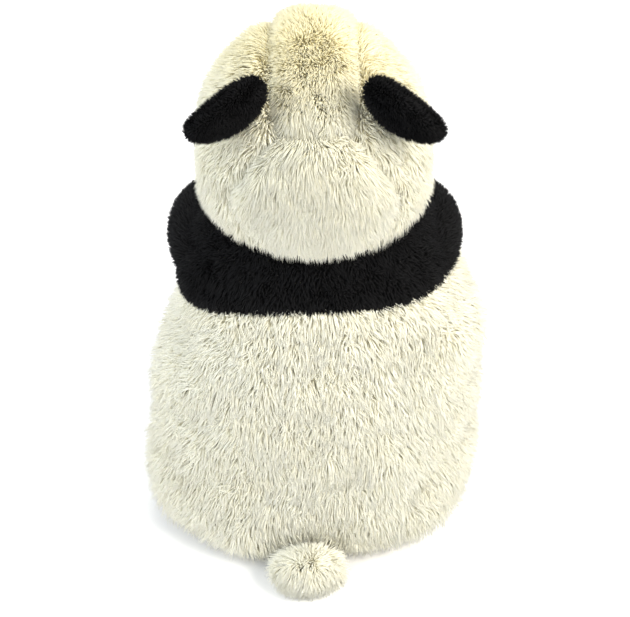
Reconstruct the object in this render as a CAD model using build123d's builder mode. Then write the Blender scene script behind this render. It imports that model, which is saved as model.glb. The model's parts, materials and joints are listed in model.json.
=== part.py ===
from build123d import *
import os
from math import acos, cos, degrees, radians, sin, sqrt

# A seated plush panda. It faces -Y, its left side is +X, and it sits on Z = 0 with the
# origin in the middle of its flat seat. Every cover is a thin shell of pile fabric around
# a body of fibre fill. The head, arms and legs are round-bottomed and sit in sockets of
# the body, each on a sewn seam ring, so that they turn there as sewn-on limbs do.

# --- Driving dimensions, in millimetres and degrees -------------------------------

CLOTH = 2.4                # pile fabric: its backing and the packed roots of the pile
FILL_SLACK = 0.4           # room between a cover and what it is stuffed with
TURN_GAP = 0.7             # room between two bodies that turn on each other
SEAM_THICKNESS = 1.6       # doubled cloth of a seam ring

BODY_WIDTH = 190.0
BODY_DEPTH = 152.0
BODY_HEIGHT = 214.0        # seat to the top of the shoulders
SHOULDER_WIDTH = 128.0     # of the body alone, between the arms
SHOULDER_DEPTH = 134.0
SEAT_INSET = 14.0          # from the widest outline in to the edge of the flat seat
SEAT_SEAM_HEIGHT = 10.0
NECK_RIM = 5.0             # width of the shoulder edge round the hollow of the neck
BODY_LEAN = 8.0            # how far the shoulders stand in front of the seat

HEAD_DIAMETER = 140.0
HEAD_SINK = 26.0           # how deep the head sits in the shoulders
HEAD_FORWARD = 10.0
FACE_TILT = 12.0           # the face looks up by this much
GUSSET_WIDTH = 52.0        # strip that runs from the forehead over the crown
GUSSET_BACK_ANGLE = 35.0   # above level, where the crown gusset meets the nape panel
GUSSET_FRONT_ANGLE = 28.0  # above level, where it meets the muzzle
NAPE_SLOPE = 40.0          # the nape panel is cut square to a line this far above level
NECK_SEAM_START_ANGLE = 16.0   # the neck ring's inner and outer edge, from straight down
NECK_SEAM_END_ANGLE = 50.0

MUZZLE_DIAMETER = 56.0
MUZZLE_REACH = 63.0        # centre of the head to the centre of the muzzle
MUZZLE_DROP = 11.0
NOSE_WIDTH = 21.0
NOSE_HEIGHT = 14.0
NOSE_DEPTH = 12.0
STITCH_RELIEF = 0.8        # height of the embroidered mouth over its cloth
MOUTH_LINE = 2.2           # width of an embroidered line

EYE_PATCH_WIDTH = 27.0
EYE_PATCH_HEIGHT = 38.0
EYE_PATCH_SLANT = 24.0
PATCH_CLOTH = 1.6
EYE_SPREAD_ANGLE = 26.0    # from the middle of the face out to an eye
EYE_RISE_ANGLE = 17.0      # from the line of sight up to an eye
EYE_DIAMETER = 13.0
EYE_RISE = 4.6
EYE_SHANK_DIAMETER = 4.0
EYE_SHANK_LENGTH = 12.0
WASHER_DIAMETER = 14.0
WASHER_THICKNESS = 1.6

EAR_WIDTH = 54.0
EAR_HEIGHT = 36.0
EAR_THICKNESS = 17.0
EAR_ROOT_DEPTH = 5.0       # of the ear below its hinge line
EAR_STANDOFF = 6.4         # of the hinge line from the head's cloth

ARM_DIAMETER = 42.0
SHOULDER_BALL_DIAMETER = 44.0
ARM_FORWARD = 2.0
ARM_DROP = 31.0            # arm's ball below the top of the shoulders
ARM_BOW = 4.0              # how far the elbow stands out
ELBOW_DROP = 9.0
PAW_SPREAD = 36.0          # a paw's centre from the middle of the chest
PAW_DROP = 43.0            # a paw's centre below the arm's ball
PAW_REST_GAP = 2.0         # between a paw and the belly's deepest outline
ARM_RAISE = 30.0
ARM_SWING = 60.0

LEG_DIAMETER = 52.0
HIP_BALL_DIAMETER = 54.0
HIP_SIDE_INSET = 35.0      # leg's ball in from the widest outline of the body
HIP_FRONT_INSET = 16.0
FLOOR_GAP = 1.0
FOOT_DIAMETER = 60.0
LEG_REACH = 57.0           # leg's ball to the middle of the foot
LEG_SPLAY = 4.0            # how far the legs point outwards
SOLE_INSET = 9.0           # the flat sole is this far inside the foot's round end
SOLE_CLOTH = 1.6
LEG_LIFT = 30.0
LEG_SWING_IN = 6.0         # travel at the hip; outwards it swings clear by itself
SEAM_START_ANGLE = 20.0    # where a limb's ring begins and ends, from its inward axis
ARM_SEAM_END_ANGLE = 52.0
LEG_SEAM_END_ANGLE = 46.0

TAIL_WIDTH = 42.0
TAIL_LENGTH = 29.0
TAIL_THICKNESS = 24.0
TAIL_TUCK = 3.5            # the tail stands this far inside the body's deepest outline
TAIL_GAP = 1.0

POUCH_WIDTH = 84.0
POUCH_DEPTH = 58.0
POUCH_HEIGHT = 30.0
POUCH_CLOTH = 1.2
POUCH_LIFT = 4.0           # fill under the pouch

SIDES = (("left", 1), ("right", -1))

# --- Sizes and places worked out from them ----------------------------------------

head_radius = HEAD_DIAMETER / 2
ring_inside = head_radius + TURN_GAP
ring_outside = ring_inside + SEAM_THICKNESS
neck_socket = ring_outside + TURN_GAP
head_centre = Vector(0, -HEAD_FORWARD, BODY_HEIGHT + head_radius - HEAD_SINK)
neck_opening = sqrt(neck_socket**2 - (head_centre.Z - BODY_HEIGHT) ** 2)
band_seam_height = head_centre.Z - neck_socket - CLOTH - TURN_GAP

shoulder_ball = SHOULDER_BALL_DIAMETER / 2
shoulder_pivot = Vector(SHOULDER_WIDTH / 2, -ARM_FORWARD, BODY_HEIGHT - ARM_DROP)
arm_reach = BODY_DEPTH / 2 + ARM_DIAMETER / 2 + PAW_REST_GAP
arm_path = (
    (0, 0, 0),
    (ARM_BOW, -arm_reach / 2, -ELBOW_DROP),
    (PAW_SPREAD - shoulder_pivot.X, -arm_reach, -PAW_DROP),
)

hip_ball = HIP_BALL_DIAMETER / 2
hip_pivot = Vector(
    BODY_WIDTH / 2 - HIP_SIDE_INSET,
    -BODY_DEPTH / 2 + HIP_FRONT_INSET,
    hip_ball + FLOOR_GAP,
)
leg_direction = Vector(sin(radians(LEG_SPLAY)), -cos(radians(LEG_SPLAY)), 0)
foot_rise = (FOOT_DIAMETER - HIP_BALL_DIAMETER) / 2
leg_path = (
    (0, 0, 0),
    (leg_direction.X * LEG_REACH, leg_direction.Y * LEG_REACH, foot_rise),
)


def keep(builder, name):
    """Label a finished piece and write it to its own file."""
    builder.part.label = name
    export_step(builder.part, f"parts/{name}.step")


def mirrored(solid, side):
    """The piece itself on the left, its mirror image on the right."""
    return solid if side > 0 else solid.mirror(Plane.YZ)


def ellipsoid(width, depth, height, shrink=0):
    """A ball scaled to three sizes about the origin, less shrink all round."""
    width, depth, height = width - 2 * shrink, depth - 2 * shrink, height - 2 * shrink
    with BuildPart() as solid:
        Sphere(width / 2)
        scale(by=(1, depth / width, height / width))
    return solid.part


def limb(points, radii, root_ball=True):
    """A soft limb of round section that runs straight between its points."""
    with BuildPart() as solid:
        for point, radius in list(zip(points, radii))[0 if root_ball else 1:]:
            with Locations(point):
                Sphere(radius)
        for start, end, start_radius, end_radius in zip(points, points[1:], radii, radii[1:]):
            along = Vector(*end) - Vector(*start)
            with BuildSketch(Plane(origin=start, z_dir=along)):
                Circle(start_radius)
            with BuildSketch(Plane(origin=end, z_dir=along)):
                Circle(end_radius)
            loft()
    return solid.part


def arm_solid(grow):
    radius = ARM_DIAMETER / 2 + grow
    return limb(arm_path, (shoulder_ball + grow, radius, radius))


def leg_solid(grow):
    """The leg about its hip, pointing along its own direction, with a round foot."""
    shaft = limb(leg_path, (hip_ball + grow, LEG_DIAMETER / 2 + grow))
    with BuildPart() as solid:
        add(shaft)
        with Locations(leg_path[1]):
            Sphere(FOOT_DIAMETER / 2 + grow)
    return solid.part


def torso_solid(inset):
    """Body outline as stacked ellipses, each (height, half width, half depth)."""
    widest, deepest = BODY_WIDTH / 2, BODY_DEPTH / 2
    neck = neck_opening + NECK_RIM
    sections = (
        (0, widest - SEAT_INSET, deepest - SEAT_INSET),
        (0.045 * BODY_HEIGHT, widest - 0.3 * SEAT_INSET, deepest - 0.35 * SEAT_INSET),
        (0.17 * BODY_HEIGHT, widest, deepest),
        (0.42 * BODY_HEIGHT, widest, deepest),
        (0.64 * BODY_HEIGHT, 0.93 * widest, 0.97 * deepest),
        (0.75 * BODY_HEIGHT, 0.5 * (0.86 * widest + SHOULDER_WIDTH / 2), 0.93 * deepest),
        (0.86 * BODY_HEIGHT, SHOULDER_WIDTH / 2, SHOULDER_DEPTH / 2),
        (BODY_HEIGHT, neck, neck),
    )
    top = BODY_HEIGHT - inset
    with BuildPart() as solid:
        for height, half_width, half_depth in sections:
            level = min(max(height, inset), top)
            middle = -BODY_LEAN * (height / BODY_HEIGHT) ** 2
            with BuildSketch(Plane((0, middle, level))):
                Ellipse(half_width - inset, half_depth - inset)
        loft()
    return solid.part


def torso_less_sockets(inset):
    """The body with hollows for the head, arms and legs, over their whole travel."""
    room = inset + 2 * TURN_GAP + SEAM_THICKNESS
    arm_radius, leg_radius = ARM_DIAMETER / 2 + room, LEG_DIAMETER / 2 + room
    torso = torso_solid(inset)
    arm_shaft = limb(arm_path, (arm_radius, arm_radius, arm_radius), root_ball=False)
    thigh = limb(leg_path, (leg_radius, leg_radius), root_ball=False)
    arm_poses = [(0, ARM_RAISE / 2), (0, ARM_RAISE)]
    arm_poses += [(share * ARM_SWING, 0) for share in (0, 0.35, 0.7, 1)]
    leg_poses = ((-LEG_SWING_IN, 0), (0, 0), (0, LEG_LIFT / 2), (0, LEG_LIFT))
    with BuildPart() as solid:
        add(torso)
        with Locations(head_centre):
            Sphere(neck_socket + inset, mode=Mode.SUBTRACT)
        for side in (1, -1):
            for pivot, ball, shaft, poses in (
                (shoulder_pivot, shoulder_ball, arm_shaft, arm_poses),
                (hip_pivot, hip_ball, thigh, leg_poses),
            ):
                root = Location((side * pivot.X, pivot.Y, pivot.Z))
                with Locations(root):
                    Sphere(ball + room, mode=Mode.SUBTRACT)
                for swing, lift in poses:
                    turn = Location((0, 0, 0), (0, 0, side * swing))
                    with Locations(root * turn * Location((0, 0, 0), (-lift, 0, 0))):
                        add(mirrored(shaft, side), mode=Mode.SUBTRACT)
    return solid.part


def seam_ring(centre, outward, inside, start_angle, end_angle):
    """A zone of a thin ball about centre, between two angles from its outward axis."""
    outside = inside + SEAM_THICKNESS
    side_dir = Vector(1, 0, 0) if abs(outward.X) < 0.9 else Vector(0, 1, 0)
    profile_plane = Plane(origin=centre, x_dir=outward, z_dir=outward.cross(side_dir))
    with BuildPart() as ring:
        with BuildSketch(profile_plane):
            with BuildLine():
                outer = CenterArc((0, 0), outside, start_angle, end_angle - start_angle)
                inner = CenterArc((0, 0), inside, start_angle, end_angle - start_angle)
                Line(outer @ 0, inner @ 0)
                Line(outer @ 1, inner @ 1)
            make_face()
        revolve(axis=Axis(centre, outward))
    return ring


os.makedirs("parts", exist_ok=True)

# --- Body: four panels of pile fabric around the fill -----------------------------

outer_body = torso_less_sockets(0)
inner_body = torso_less_sockets(CLOTH)
fill_body = torso_less_sockets(CLOTH + FILL_SLACK)

band_plane = Plane.XY.offset(band_seam_height)
seat_plane = Plane.XY.offset(SEAT_SEAM_HEIGHT)

with BuildPart() as shoulder_band:
    add(outer_body)
    add(inner_body, mode=Mode.SUBTRACT)
    split(bisect_by=band_plane, keep=Keep.TOP)
keep(shoulder_band, "shoulder_band")

with BuildPart() as seat_panel:
    add(outer_body)
    add(inner_body, mode=Mode.SUBTRACT)
    split(bisect_by=seat_plane, keep=Keep.BOTTOM)
keep(seat_panel, "seat_panel")

for name, kept_half in (("back_panel", Keep.BOTTOM), ("belly_panel", Keep.TOP)):
    with BuildPart() as panel:
        add(outer_body)
        add(inner_body, mode=Mode.SUBTRACT)
        split(bisect_by=band_plane, keep=Keep.BOTTOM)
        split(bisect_by=seat_plane, keep=Keep.TOP)
        split(bisect_by=Plane.XZ, keep=kept_half)
    keep(panel, name)

# --- Bean pouch in the seat, which keeps the panda upright ------------------------

pouch_centre = (0, 14, CLOTH + 2 * FILL_SLACK + POUCH_LIFT + POUCH_HEIGHT / 2)
pouch_room, pouch_outside, pouch_inside, pellets = (
    ellipsoid(POUCH_WIDTH, POUCH_DEPTH, POUCH_HEIGHT, shrink)
    for shrink in (-FILL_SLACK, 0, POUCH_CLOTH, POUCH_CLOTH + FILL_SLACK)
)
with BuildPart() as pellet_pouch:
    with Locations(pouch_centre):
        add(pouch_outside)
        add(pouch_inside, mode=Mode.SUBTRACT)
keep(pellet_pouch, "pellet_pouch")

with BuildPart() as pellet_fill:
    with Locations(pouch_centre):
        add(pellets)
keep(pellet_fill, "pellet_fill")

with BuildPart() as body_stuffing:
    add(fill_body)
    with Locations(pouch_centre):
        add(pouch_room, mode=Mode.SUBTRACT)
keep(body_stuffing, "body_stuffing")

# --- Neck seam: the ring of doubled cloth that the head is sewn on by --------------

neck_seam = seam_ring(
    head_centre, Vector(0, 0, -1), ring_inside, NECK_SEAM_START_ANGLE, NECK_SEAM_END_ANGLE
)
keep(neck_seam, "neck_seam")

# --- Head: side panels, crown gusset and nape panel over a ball of fill ------------

face_axis = Vector(0, -cos(radians(FACE_TILT)), sin(radians(FACE_TILT)))
nape_slope = radians(NAPE_SLOPE)
nape_view = Plane(
    origin=head_centre, x_dir=(-1, 0, 0), z_dir=(0, cos(nape_slope), sin(nape_slope))
)
crease_angle = radians(GUSSET_BACK_ANGLE)
crease_plane = Plane(
    origin=head_centre, x_dir=(1, 0, 0), z_dir=(0, -sin(crease_angle), cos(crease_angle))
)
reach = 2 * head_radius


def eye_plane(side):
    """Plane on the patch of an eye, facing out along the head's radius."""
    spread, rise = radians(EYE_SPREAD_ANGLE), radians(FACE_TILT + EYE_RISE_ANGLE)
    outward = Vector(side * sin(spread) * cos(rise), -cos(spread) * cos(rise), sin(rise))
    return Plane(
        origin=head_centre + outward * (head_radius + PATCH_CLOTH),
        x_dir=Vector(0, 0, 1).cross(outward),
        z_dir=outward,
    )


with BuildPart() as head_cloth:
    with Locations(head_centre):
        Sphere(head_radius)
        Sphere(head_radius - CLOTH, mode=Mode.SUBTRACT)
    for _, side in SIDES:
        with BuildSketch(eye_plane(side)):
            Circle(EYE_SHANK_DIAMETER / 2)
        extrude(amount=2 * CLOTH + PATCH_CLOTH, both=True, mode=Mode.SUBTRACT)

with BuildPart() as gusset_wedge:
    with BuildSketch(Plane(origin=head_centre, x_dir=(0, -1, 0), z_dir=(-1, 0, 0))):
        with BuildLine():
            brow = (
                reach * cos(radians(GUSSET_FRONT_ANGLE)),
                reach * sin(radians(GUSSET_FRONT_ANGLE)),
            )
            crease = (-reach * cos(crease_angle), reach * sin(crease_angle))
            Polyline((0, 0), brow, (brow[0], reach), (crease[0], reach), crease, close=True)
        make_face()
    extrude(amount=GUSSET_WIDTH / 2, both=True)

with BuildPart() as nape_wedge:
    with BuildSketch(nape_view):
        with BuildLine():
            Polyline(
                (-0.26 * head_radius, 0.3 * head_radius),
                (0.26 * head_radius, 0.3 * head_radius),
                (0.3 * head_radius, -0.08 * head_radius),
                (0.68 * head_radius, -0.56 * head_radius),
                (0.56 * head_radius, -0.76 * head_radius),
                (0.2 * head_radius, -0.92 * head_radius),
                (-0.2 * head_radius, -0.92 * head_radius),
                (-0.56 * head_radius, -0.76 * head_radius),
                (-0.68 * head_radius, -0.56 * head_radius),
                (-0.3 * head_radius, -0.08 * head_radius),
                close=True,
            )
        make_face()
    extrude(amount=reach)
    split(bisect_by=crease_plane, keep=Keep.BOTTOM)

for name, wedge in (("crown_gusset", gusset_wedge), ("nape_panel", nape_wedge)):
    with BuildPart() as panel:
        add(head_cloth.part)
        add(wedge.part, mode=Mode.INTERSECT)
    keep(panel, name)

for side_name, side in SIDES:
    with BuildPart() as head_side:
        add(head_cloth.part)
        add(gusset_wedge.part, mode=Mode.SUBTRACT)
        add(nape_wedge.part, mode=Mode.SUBTRACT)
        split(bisect_by=Plane.YZ, keep=Keep.TOP if side > 0 else Keep.BOTTOM)
    keep(head_side, f"head_side_{side_name}")

washer_depth = PATCH_CLOTH + CLOTH + FILL_SLACK
with BuildPart() as head_stuffing:
    with Locations(head_centre):
        Sphere(head_radius - CLOTH - FILL_SLACK)
    for _, side in SIDES:
        pocket = eye_plane(side).offset(-EYE_SHANK_LENGTH - FILL_SLACK)
        with BuildSketch(pocket):
            Circle(WASHER_DIAMETER / 2 + FILL_SLACK)
        extrude(amount=2 * EYE_SHANK_LENGTH, mode=Mode.SUBTRACT)
keep(head_stuffing, "head_stuffing")

# --- Muzzle, nose and embroidered mouth -------------------------------------------

muzzle_centre = head_centre + face_axis * MUZZLE_REACH - Vector(0, 0, MUZZLE_DROP)
muzzle_place = Location(muzzle_centre, (-FACE_TILT, 0, 0))


def muzzle_solid(inset):
    with BuildPart() as solid:
        with Locations(muzzle_place):
            Sphere(MUZZLE_DIAMETER / 2 - inset)
        with Locations(head_centre):
            Sphere(head_radius + max(inset - CLOTH, 0), mode=Mode.SUBTRACT)
    return solid.part


muzzle_outside, muzzle_inside = muzzle_solid(0), muzzle_solid(CLOTH)
muzzle_fill, muzzle_stitched = muzzle_solid(CLOTH + FILL_SLACK), muzzle_solid(-STITCH_RELIEF)

with BuildPart() as muzzle_cover:
    add(muzzle_outside)
    add(muzzle_inside, mode=Mode.SUBTRACT)
keep(muzzle_cover, "muzzle_cover")

with BuildPart() as muzzle_stuffing:
    add(muzzle_fill)
keep(muzzle_stuffing, "muzzle_stuffing")

nose_place = muzzle_place * Location((0, -0.44 * MUZZLE_DIAMETER, 0.26 * MUZZLE_DIAMETER))
nose_outside = ellipsoid(NOSE_WIDTH, NOSE_DEPTH, NOSE_HEIGHT)
nose_room = ellipsoid(NOSE_WIDTH, NOSE_DEPTH, NOSE_HEIGHT, -FILL_SLACK)
with BuildPart() as nose:
    with Locations(nose_place):
        add(nose_outside)
    add(muzzle_outside, mode=Mode.SUBTRACT)
keep(nose, "nose")

muzzle_front = Plane(muzzle_place * Location((0, -MUZZLE_DIAMETER, 0), (90, 0, 0)))
lip_radius = 0.145 * MUZZLE_DIAMETER
lip_height = -0.02 * MUZZLE_DIAMETER
with BuildPart() as mouth_prism:
    with BuildSketch(muzzle_front):
        for side in (1, -1):
            with Locations((side * lip_radius, lip_height)):
                Circle(lip_radius + MOUTH_LINE / 2)
        for side in (1, -1):
            with Locations((side * lip_radius, lip_height)):
                Circle(lip_radius - MOUTH_LINE / 2, mode=Mode.SUBTRACT)
        with Locations((0, lip_height)):
            Rectangle(5 * lip_radius, 3 * lip_radius, align=(Align.CENTER, Align.MIN),
                      mode=Mode.SUBTRACT)
        with Locations((0, lip_height - MOUTH_LINE)):
            Rectangle(MOUTH_LINE, 0.24 * MUZZLE_DIAMETER, align=(Align.CENTER, Align.MIN))
    extrude(amount=-MUZZLE_DIAMETER)

with BuildPart() as mouth_stitch:
    add(muzzle_stitched)
    add(mouth_prism.part, mode=Mode.INTERSECT)
    add(muzzle_outside, mode=Mode.SUBTRACT)
    with Locations(nose_place):
        add(nose_room, mode=Mode.SUBTRACT)
keep(mouth_stitch, "mouth_stitch")

# --- Eyes: black patches, domed safety eyes and the washers that lock them ---------

for side_name, side in SIDES:
    place = eye_plane(side)
    with BuildPart() as eye_patch:
        with BuildSketch(place.offset(-EYE_SHANK_LENGTH)):
            with Locations(Location((side * 0.12 * EYE_PATCH_WIDTH, -0.1 * EYE_PATCH_HEIGHT))):
                Ellipse(EYE_PATCH_WIDTH / 2, EYE_PATCH_HEIGHT / 2, rotation=side * EYE_PATCH_SLANT)
            Circle(EYE_SHANK_DIAMETER / 2, mode=Mode.SUBTRACT)
        extrude(amount=2 * EYE_SHANK_LENGTH)
        with Locations(head_centre):
            Sphere(head_radius + PATCH_CLOTH, mode=Mode.INTERSECT)
            Sphere(head_radius, mode=Mode.SUBTRACT)
        add(muzzle_stitched, mode=Mode.SUBTRACT)
    keep(eye_patch, f"eye_patch_{side_name}")

    eye_radius = EYE_DIAMETER / 2
    dome_radius = (eye_radius**2 + EYE_RISE**2) / (2 * EYE_RISE)
    dome_angle = degrees(acos((dome_radius - EYE_RISE) / dome_radius))
    shank = EYE_SHANK_DIAMETER / 2
    with BuildPart() as eye:
        with BuildSketch(Plane(origin=place.origin, x_dir=place.x_dir, z_dir=-place.y_dir)):
            with BuildLine():
                dome = CenterArc((0, EYE_RISE - dome_radius), dome_radius, 90, -dome_angle)
                Polyline(
                    dome @ 1, (shank, 0), (shank, -EYE_SHANK_LENGTH), (0, -EYE_SHANK_LENGTH), dome @ 0
                )
            make_face()
        revolve(axis=Axis(place.origin, place.z_dir))
    keep(eye, f"eye_{side_name}")

    with BuildPart() as washer:
        with BuildSketch(place.offset(-washer_depth - WASHER_THICKNESS)):
            Circle(WASHER_DIAMETER / 2)
            Circle(shank, mode=Mode.SUBTRACT)
        extrude(amount=WASHER_THICKNESS)
    keep(washer, f"eye_washer_{side_name}")

# --- Ears: a front and a back panel over a thin fill, hinged at the seam -----------

ear_outward = Vector(0.50, 0.623, 0.602).normalized()
ear_along = Vector(-0.730, -0.069, 0.678).normalized()
ear_back = ear_outward.cross(ear_along)
ear_plane = Plane(
    origin=head_centre + ear_outward * (head_radius + EAR_STANDOFF),
    x_dir=ear_along,
    z_dir=ear_outward,
)


def ear_solid(inset):
    height = EAR_HEIGHT + EAR_ROOT_DEPTH
    flap = ellipsoid(EAR_WIDTH, EAR_THICKNESS, height, inset)
    with BuildPart() as solid:
        with Locations(ear_plane.location * Location((0, 0, height / 2 - EAR_ROOT_DEPTH))):
            add(flap)
    return solid.part


ear_seam = Plane(origin=ear_plane.origin, x_dir=ear_along, z_dir=ear_back)
ear_outside, ear_inside, ear_filling = (
    ear_solid(inset) for inset in (0, CLOTH, CLOTH + FILL_SLACK)
)
for side_name, side in SIDES:
    for face_name, kept_half in (("front", Keep.BOTTOM), ("back", Keep.TOP)):
        with BuildPart() as ear_half:
            add(ear_outside)
            add(ear_inside, mode=Mode.SUBTRACT)
            split(bisect_by=ear_seam, keep=kept_half)
        ear_face_shape = mirrored(ear_half.part, side)
        with BuildPart() as ear_face:
            add(ear_face_shape)
        keep(ear_face, f"ear_{side_name}_{face_name}")
    ear_fill_shape = mirrored(ear_filling, side)
    with BuildPart() as ear_fill:
        add(ear_fill_shape)
    keep(ear_fill, f"ear_{side_name}_stuffing")

# --- Arms: an inner and an outer panel over fill, on a seam ring in the shoulder ---

arm_outside, arm_inside, arm_filling = (
    arm_solid(grow) for grow in (0, -CLOTH, -CLOTH - FILL_SLACK)
)
arm_split = Plane(origin=(3, 0, 0), x_dir=(0, -1, 0), z_dir=(1, 0, 0))

for side_name, side in SIDES:
    shoulder = Location((side * shoulder_pivot.X, shoulder_pivot.Y, shoulder_pivot.Z))
    for panel_name, kept_half in (("outer", Keep.TOP), ("inner", Keep.BOTTOM)):
        with BuildPart() as arm_half:
            add(arm_outside)
            add(arm_inside, mode=Mode.SUBTRACT)
            split(bisect_by=arm_split, keep=kept_half)
        arm_panel_shape = mirrored(arm_half.part, side)
        with BuildPart() as arm_panel:
            with Locations(shoulder):
                add(arm_panel_shape)
        keep(arm_panel, f"arm_{side_name}_{panel_name}")
    arm_fill_shape = mirrored(arm_filling, side)
    with BuildPart() as arm_fill:
        with Locations(shoulder):
            add(arm_fill_shape)
    keep(arm_fill, f"arm_{side_name}_stuffing")

    into_body = Vector(-side * 0.42, 0.82, 0.18).normalized()
    arm_seam = seam_ring(
        Vector(shoulder.position), into_body, shoulder_ball + TURN_GAP, SEAM_START_ANGLE, ARM_SEAM_END_ANGLE
    )
    keep(arm_seam, f"arm_{side_name}_seam")

# --- Legs: a cover, a velour sole and fill, on a seam ring in the hip --------------

sole_plane = Plane(
    origin=leg_direction * (LEG_REACH + FOOT_DIAMETER / 2 - SOLE_INSET), z_dir=leg_direction
)
leg_outside, leg_inside, leg_filling = (
    leg_solid(grow) for grow in (0, -CLOTH, -CLOTH - FILL_SLACK)
)
with BuildPart() as cover_shape:
    add(leg_outside)
    add(leg_inside, mode=Mode.SUBTRACT)
    split(bisect_by=sole_plane, keep=Keep.BOTTOM)
with BuildPart() as filling_shape:
    add(leg_filling)
    split(bisect_by=sole_plane.offset(-FILL_SLACK), keep=Keep.BOTTOM)
with BuildPart() as sole_shape:
    add(leg_outside)
    split(bisect_by=sole_plane, keep=Keep.TOP)
    split(bisect_by=sole_plane.offset(SOLE_CLOTH), keep=Keep.BOTTOM)

for side_name, side in SIDES:
    hip = Location((side * hip_pivot.X, hip_pivot.Y, hip_pivot.Z))
    for piece_name, shape in (
        ("cover", cover_shape), ("stuffing", filling_shape), ("sole", sole_shape)
    ):
        leg_piece_shape = mirrored(shape.part, side)
        with BuildPart() as leg_piece:
            with Locations(hip):
                add(leg_piece_shape)
        keep(leg_piece, f"leg_{side_name}_{piece_name}")

    into_body = Vector(-side * leg_direction.X, -leg_direction.Y, 0.35).normalized()
    leg_seam = seam_ring(
        Vector(hip.position), into_body, hip_ball + TURN_GAP, SEAM_START_ANGLE, LEG_SEAM_END_ANGLE
    )
    keep(leg_seam, f"leg_{side_name}_seam")

# --- Tail: a small flattened pompon sewn on above the seat seam --------------------

tail_centre = (
    0,
    BODY_DEPTH / 2 - TAIL_TUCK + TAIL_GAP + TAIL_LENGTH / 2,
    TAIL_THICKNESS / 2 + FLOOR_GAP,
)
tail_outside, tail_inside, tail_filling = (
    ellipsoid(TAIL_WIDTH, TAIL_LENGTH, TAIL_THICKNESS, shrink)
    for shrink in (0, CLOTH, CLOTH + FILL_SLACK)
)
with BuildPart() as tail_cover:
    with Locations(tail_centre):
        add(tail_outside)
        add(tail_inside, mode=Mode.SUBTRACT)
keep(tail_cover, "tail_cover")

with BuildPart() as tail_stuffing:
    with Locations(tail_centre):
        add(tail_filling)
keep(tail_stuffing, "tail_stuffing")
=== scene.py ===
import json
from math import cos, pi, radians, sin

import bmesh
import bpy
import numpy as np
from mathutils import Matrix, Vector


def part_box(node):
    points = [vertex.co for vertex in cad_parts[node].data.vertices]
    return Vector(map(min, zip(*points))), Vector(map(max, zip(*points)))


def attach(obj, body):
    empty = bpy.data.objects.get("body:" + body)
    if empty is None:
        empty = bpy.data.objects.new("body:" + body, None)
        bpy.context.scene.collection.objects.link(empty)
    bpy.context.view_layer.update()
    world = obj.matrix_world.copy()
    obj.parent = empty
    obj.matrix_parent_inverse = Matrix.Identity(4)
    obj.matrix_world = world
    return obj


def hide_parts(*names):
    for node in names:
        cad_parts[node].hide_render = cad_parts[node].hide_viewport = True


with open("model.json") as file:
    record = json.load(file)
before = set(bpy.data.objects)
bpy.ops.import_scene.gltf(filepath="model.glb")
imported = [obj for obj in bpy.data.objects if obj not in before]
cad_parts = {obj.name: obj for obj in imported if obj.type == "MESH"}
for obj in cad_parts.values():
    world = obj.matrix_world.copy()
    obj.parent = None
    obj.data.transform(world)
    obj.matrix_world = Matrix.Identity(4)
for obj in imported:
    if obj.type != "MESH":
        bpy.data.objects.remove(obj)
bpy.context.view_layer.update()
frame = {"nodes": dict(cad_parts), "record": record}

# --- Floor, light and camera ------------------------------------------------------
# The panda sits on a seamless pale table in a soft, bright light tent. The camera stands
# behind it and looks down on the crown of its head.

VIEW_AZIMUTH, VIEW_ELEVATION = 180.0, 40.0
CAMERA_DISTANCE = 1.25
FRAME_WIDTH = 0.358            # what the picture spans at the aim point
AIM = Vector((0.0, 0.03, 0.166))
LAMP_AIM = Vector((0, 0, 0.15))
FLOOR_HALF, FLOOR_LEVEL = 6.0, -0.0005


def new_object(name, data):
    """A new object at the origin of the scene."""
    made = bpy.data.objects.new(name, data)
    bpy.context.collection.objects.link(made)
    return made


def direction_of(azimuth, elevation):
    """Unit vector from the object towards a camera or a lamp at these angles."""
    turn, rise = radians(azimuth), radians(elevation)
    return Vector((sin(turn) * cos(rise), -cos(turn) * cos(rise), sin(rise)))


towards_camera = direction_of(VIEW_AZIMUTH, VIEW_ELEVATION)
camera_data = bpy.data.cameras.new("camera")
camera_data.sensor_width = 36.0
camera_data.lens = 36.0 * CAMERA_DISTANCE / FRAME_WIDTH
camera = new_object("camera", camera_data)
camera.location = AIM + towards_camera * CAMERA_DISTANCE
camera.rotation_euler = (-towards_camera).to_track_quat("-Z", "Y").to_euler()
bpy.context.scene.camera = camera
bpy.context.scene.view_settings.view_transform = "Standard"


def area_light(name, azimuth, elevation, distance, size, power, colour):
    """A round soft lamp that faces the toy."""
    data = bpy.data.lights.new(name, "AREA")
    data.shape, data.size, data.energy, data.color = "DISK", size, power, colour
    lamp = new_object(name, data)
    outward = direction_of(azimuth, elevation)
    lamp.location = LAMP_AIM + outward * distance
    lamp.rotation_euler = (-outward).to_track_quat("-Z", "Y").to_euler()


area_light("key", 232, 40, 1.3, 0.8, 20, (1.0, 0.955, 0.88))
area_light("fill", 118, 34, 1.4, 1.2, 13, (0.90, 0.95, 1.0))
area_light("front", 0, 55, 1.4, 1.0, 9, (1.0, 0.98, 0.95))

world = bpy.data.worlds.new("light_tent")
world.use_nodes = True
tent = world.node_tree.nodes["Background"].inputs
tent["Color"].default_value = (0.97, 0.985, 1.0, 1)
tent["Strength"].default_value = 0.80
bpy.context.scene.world = world

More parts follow.
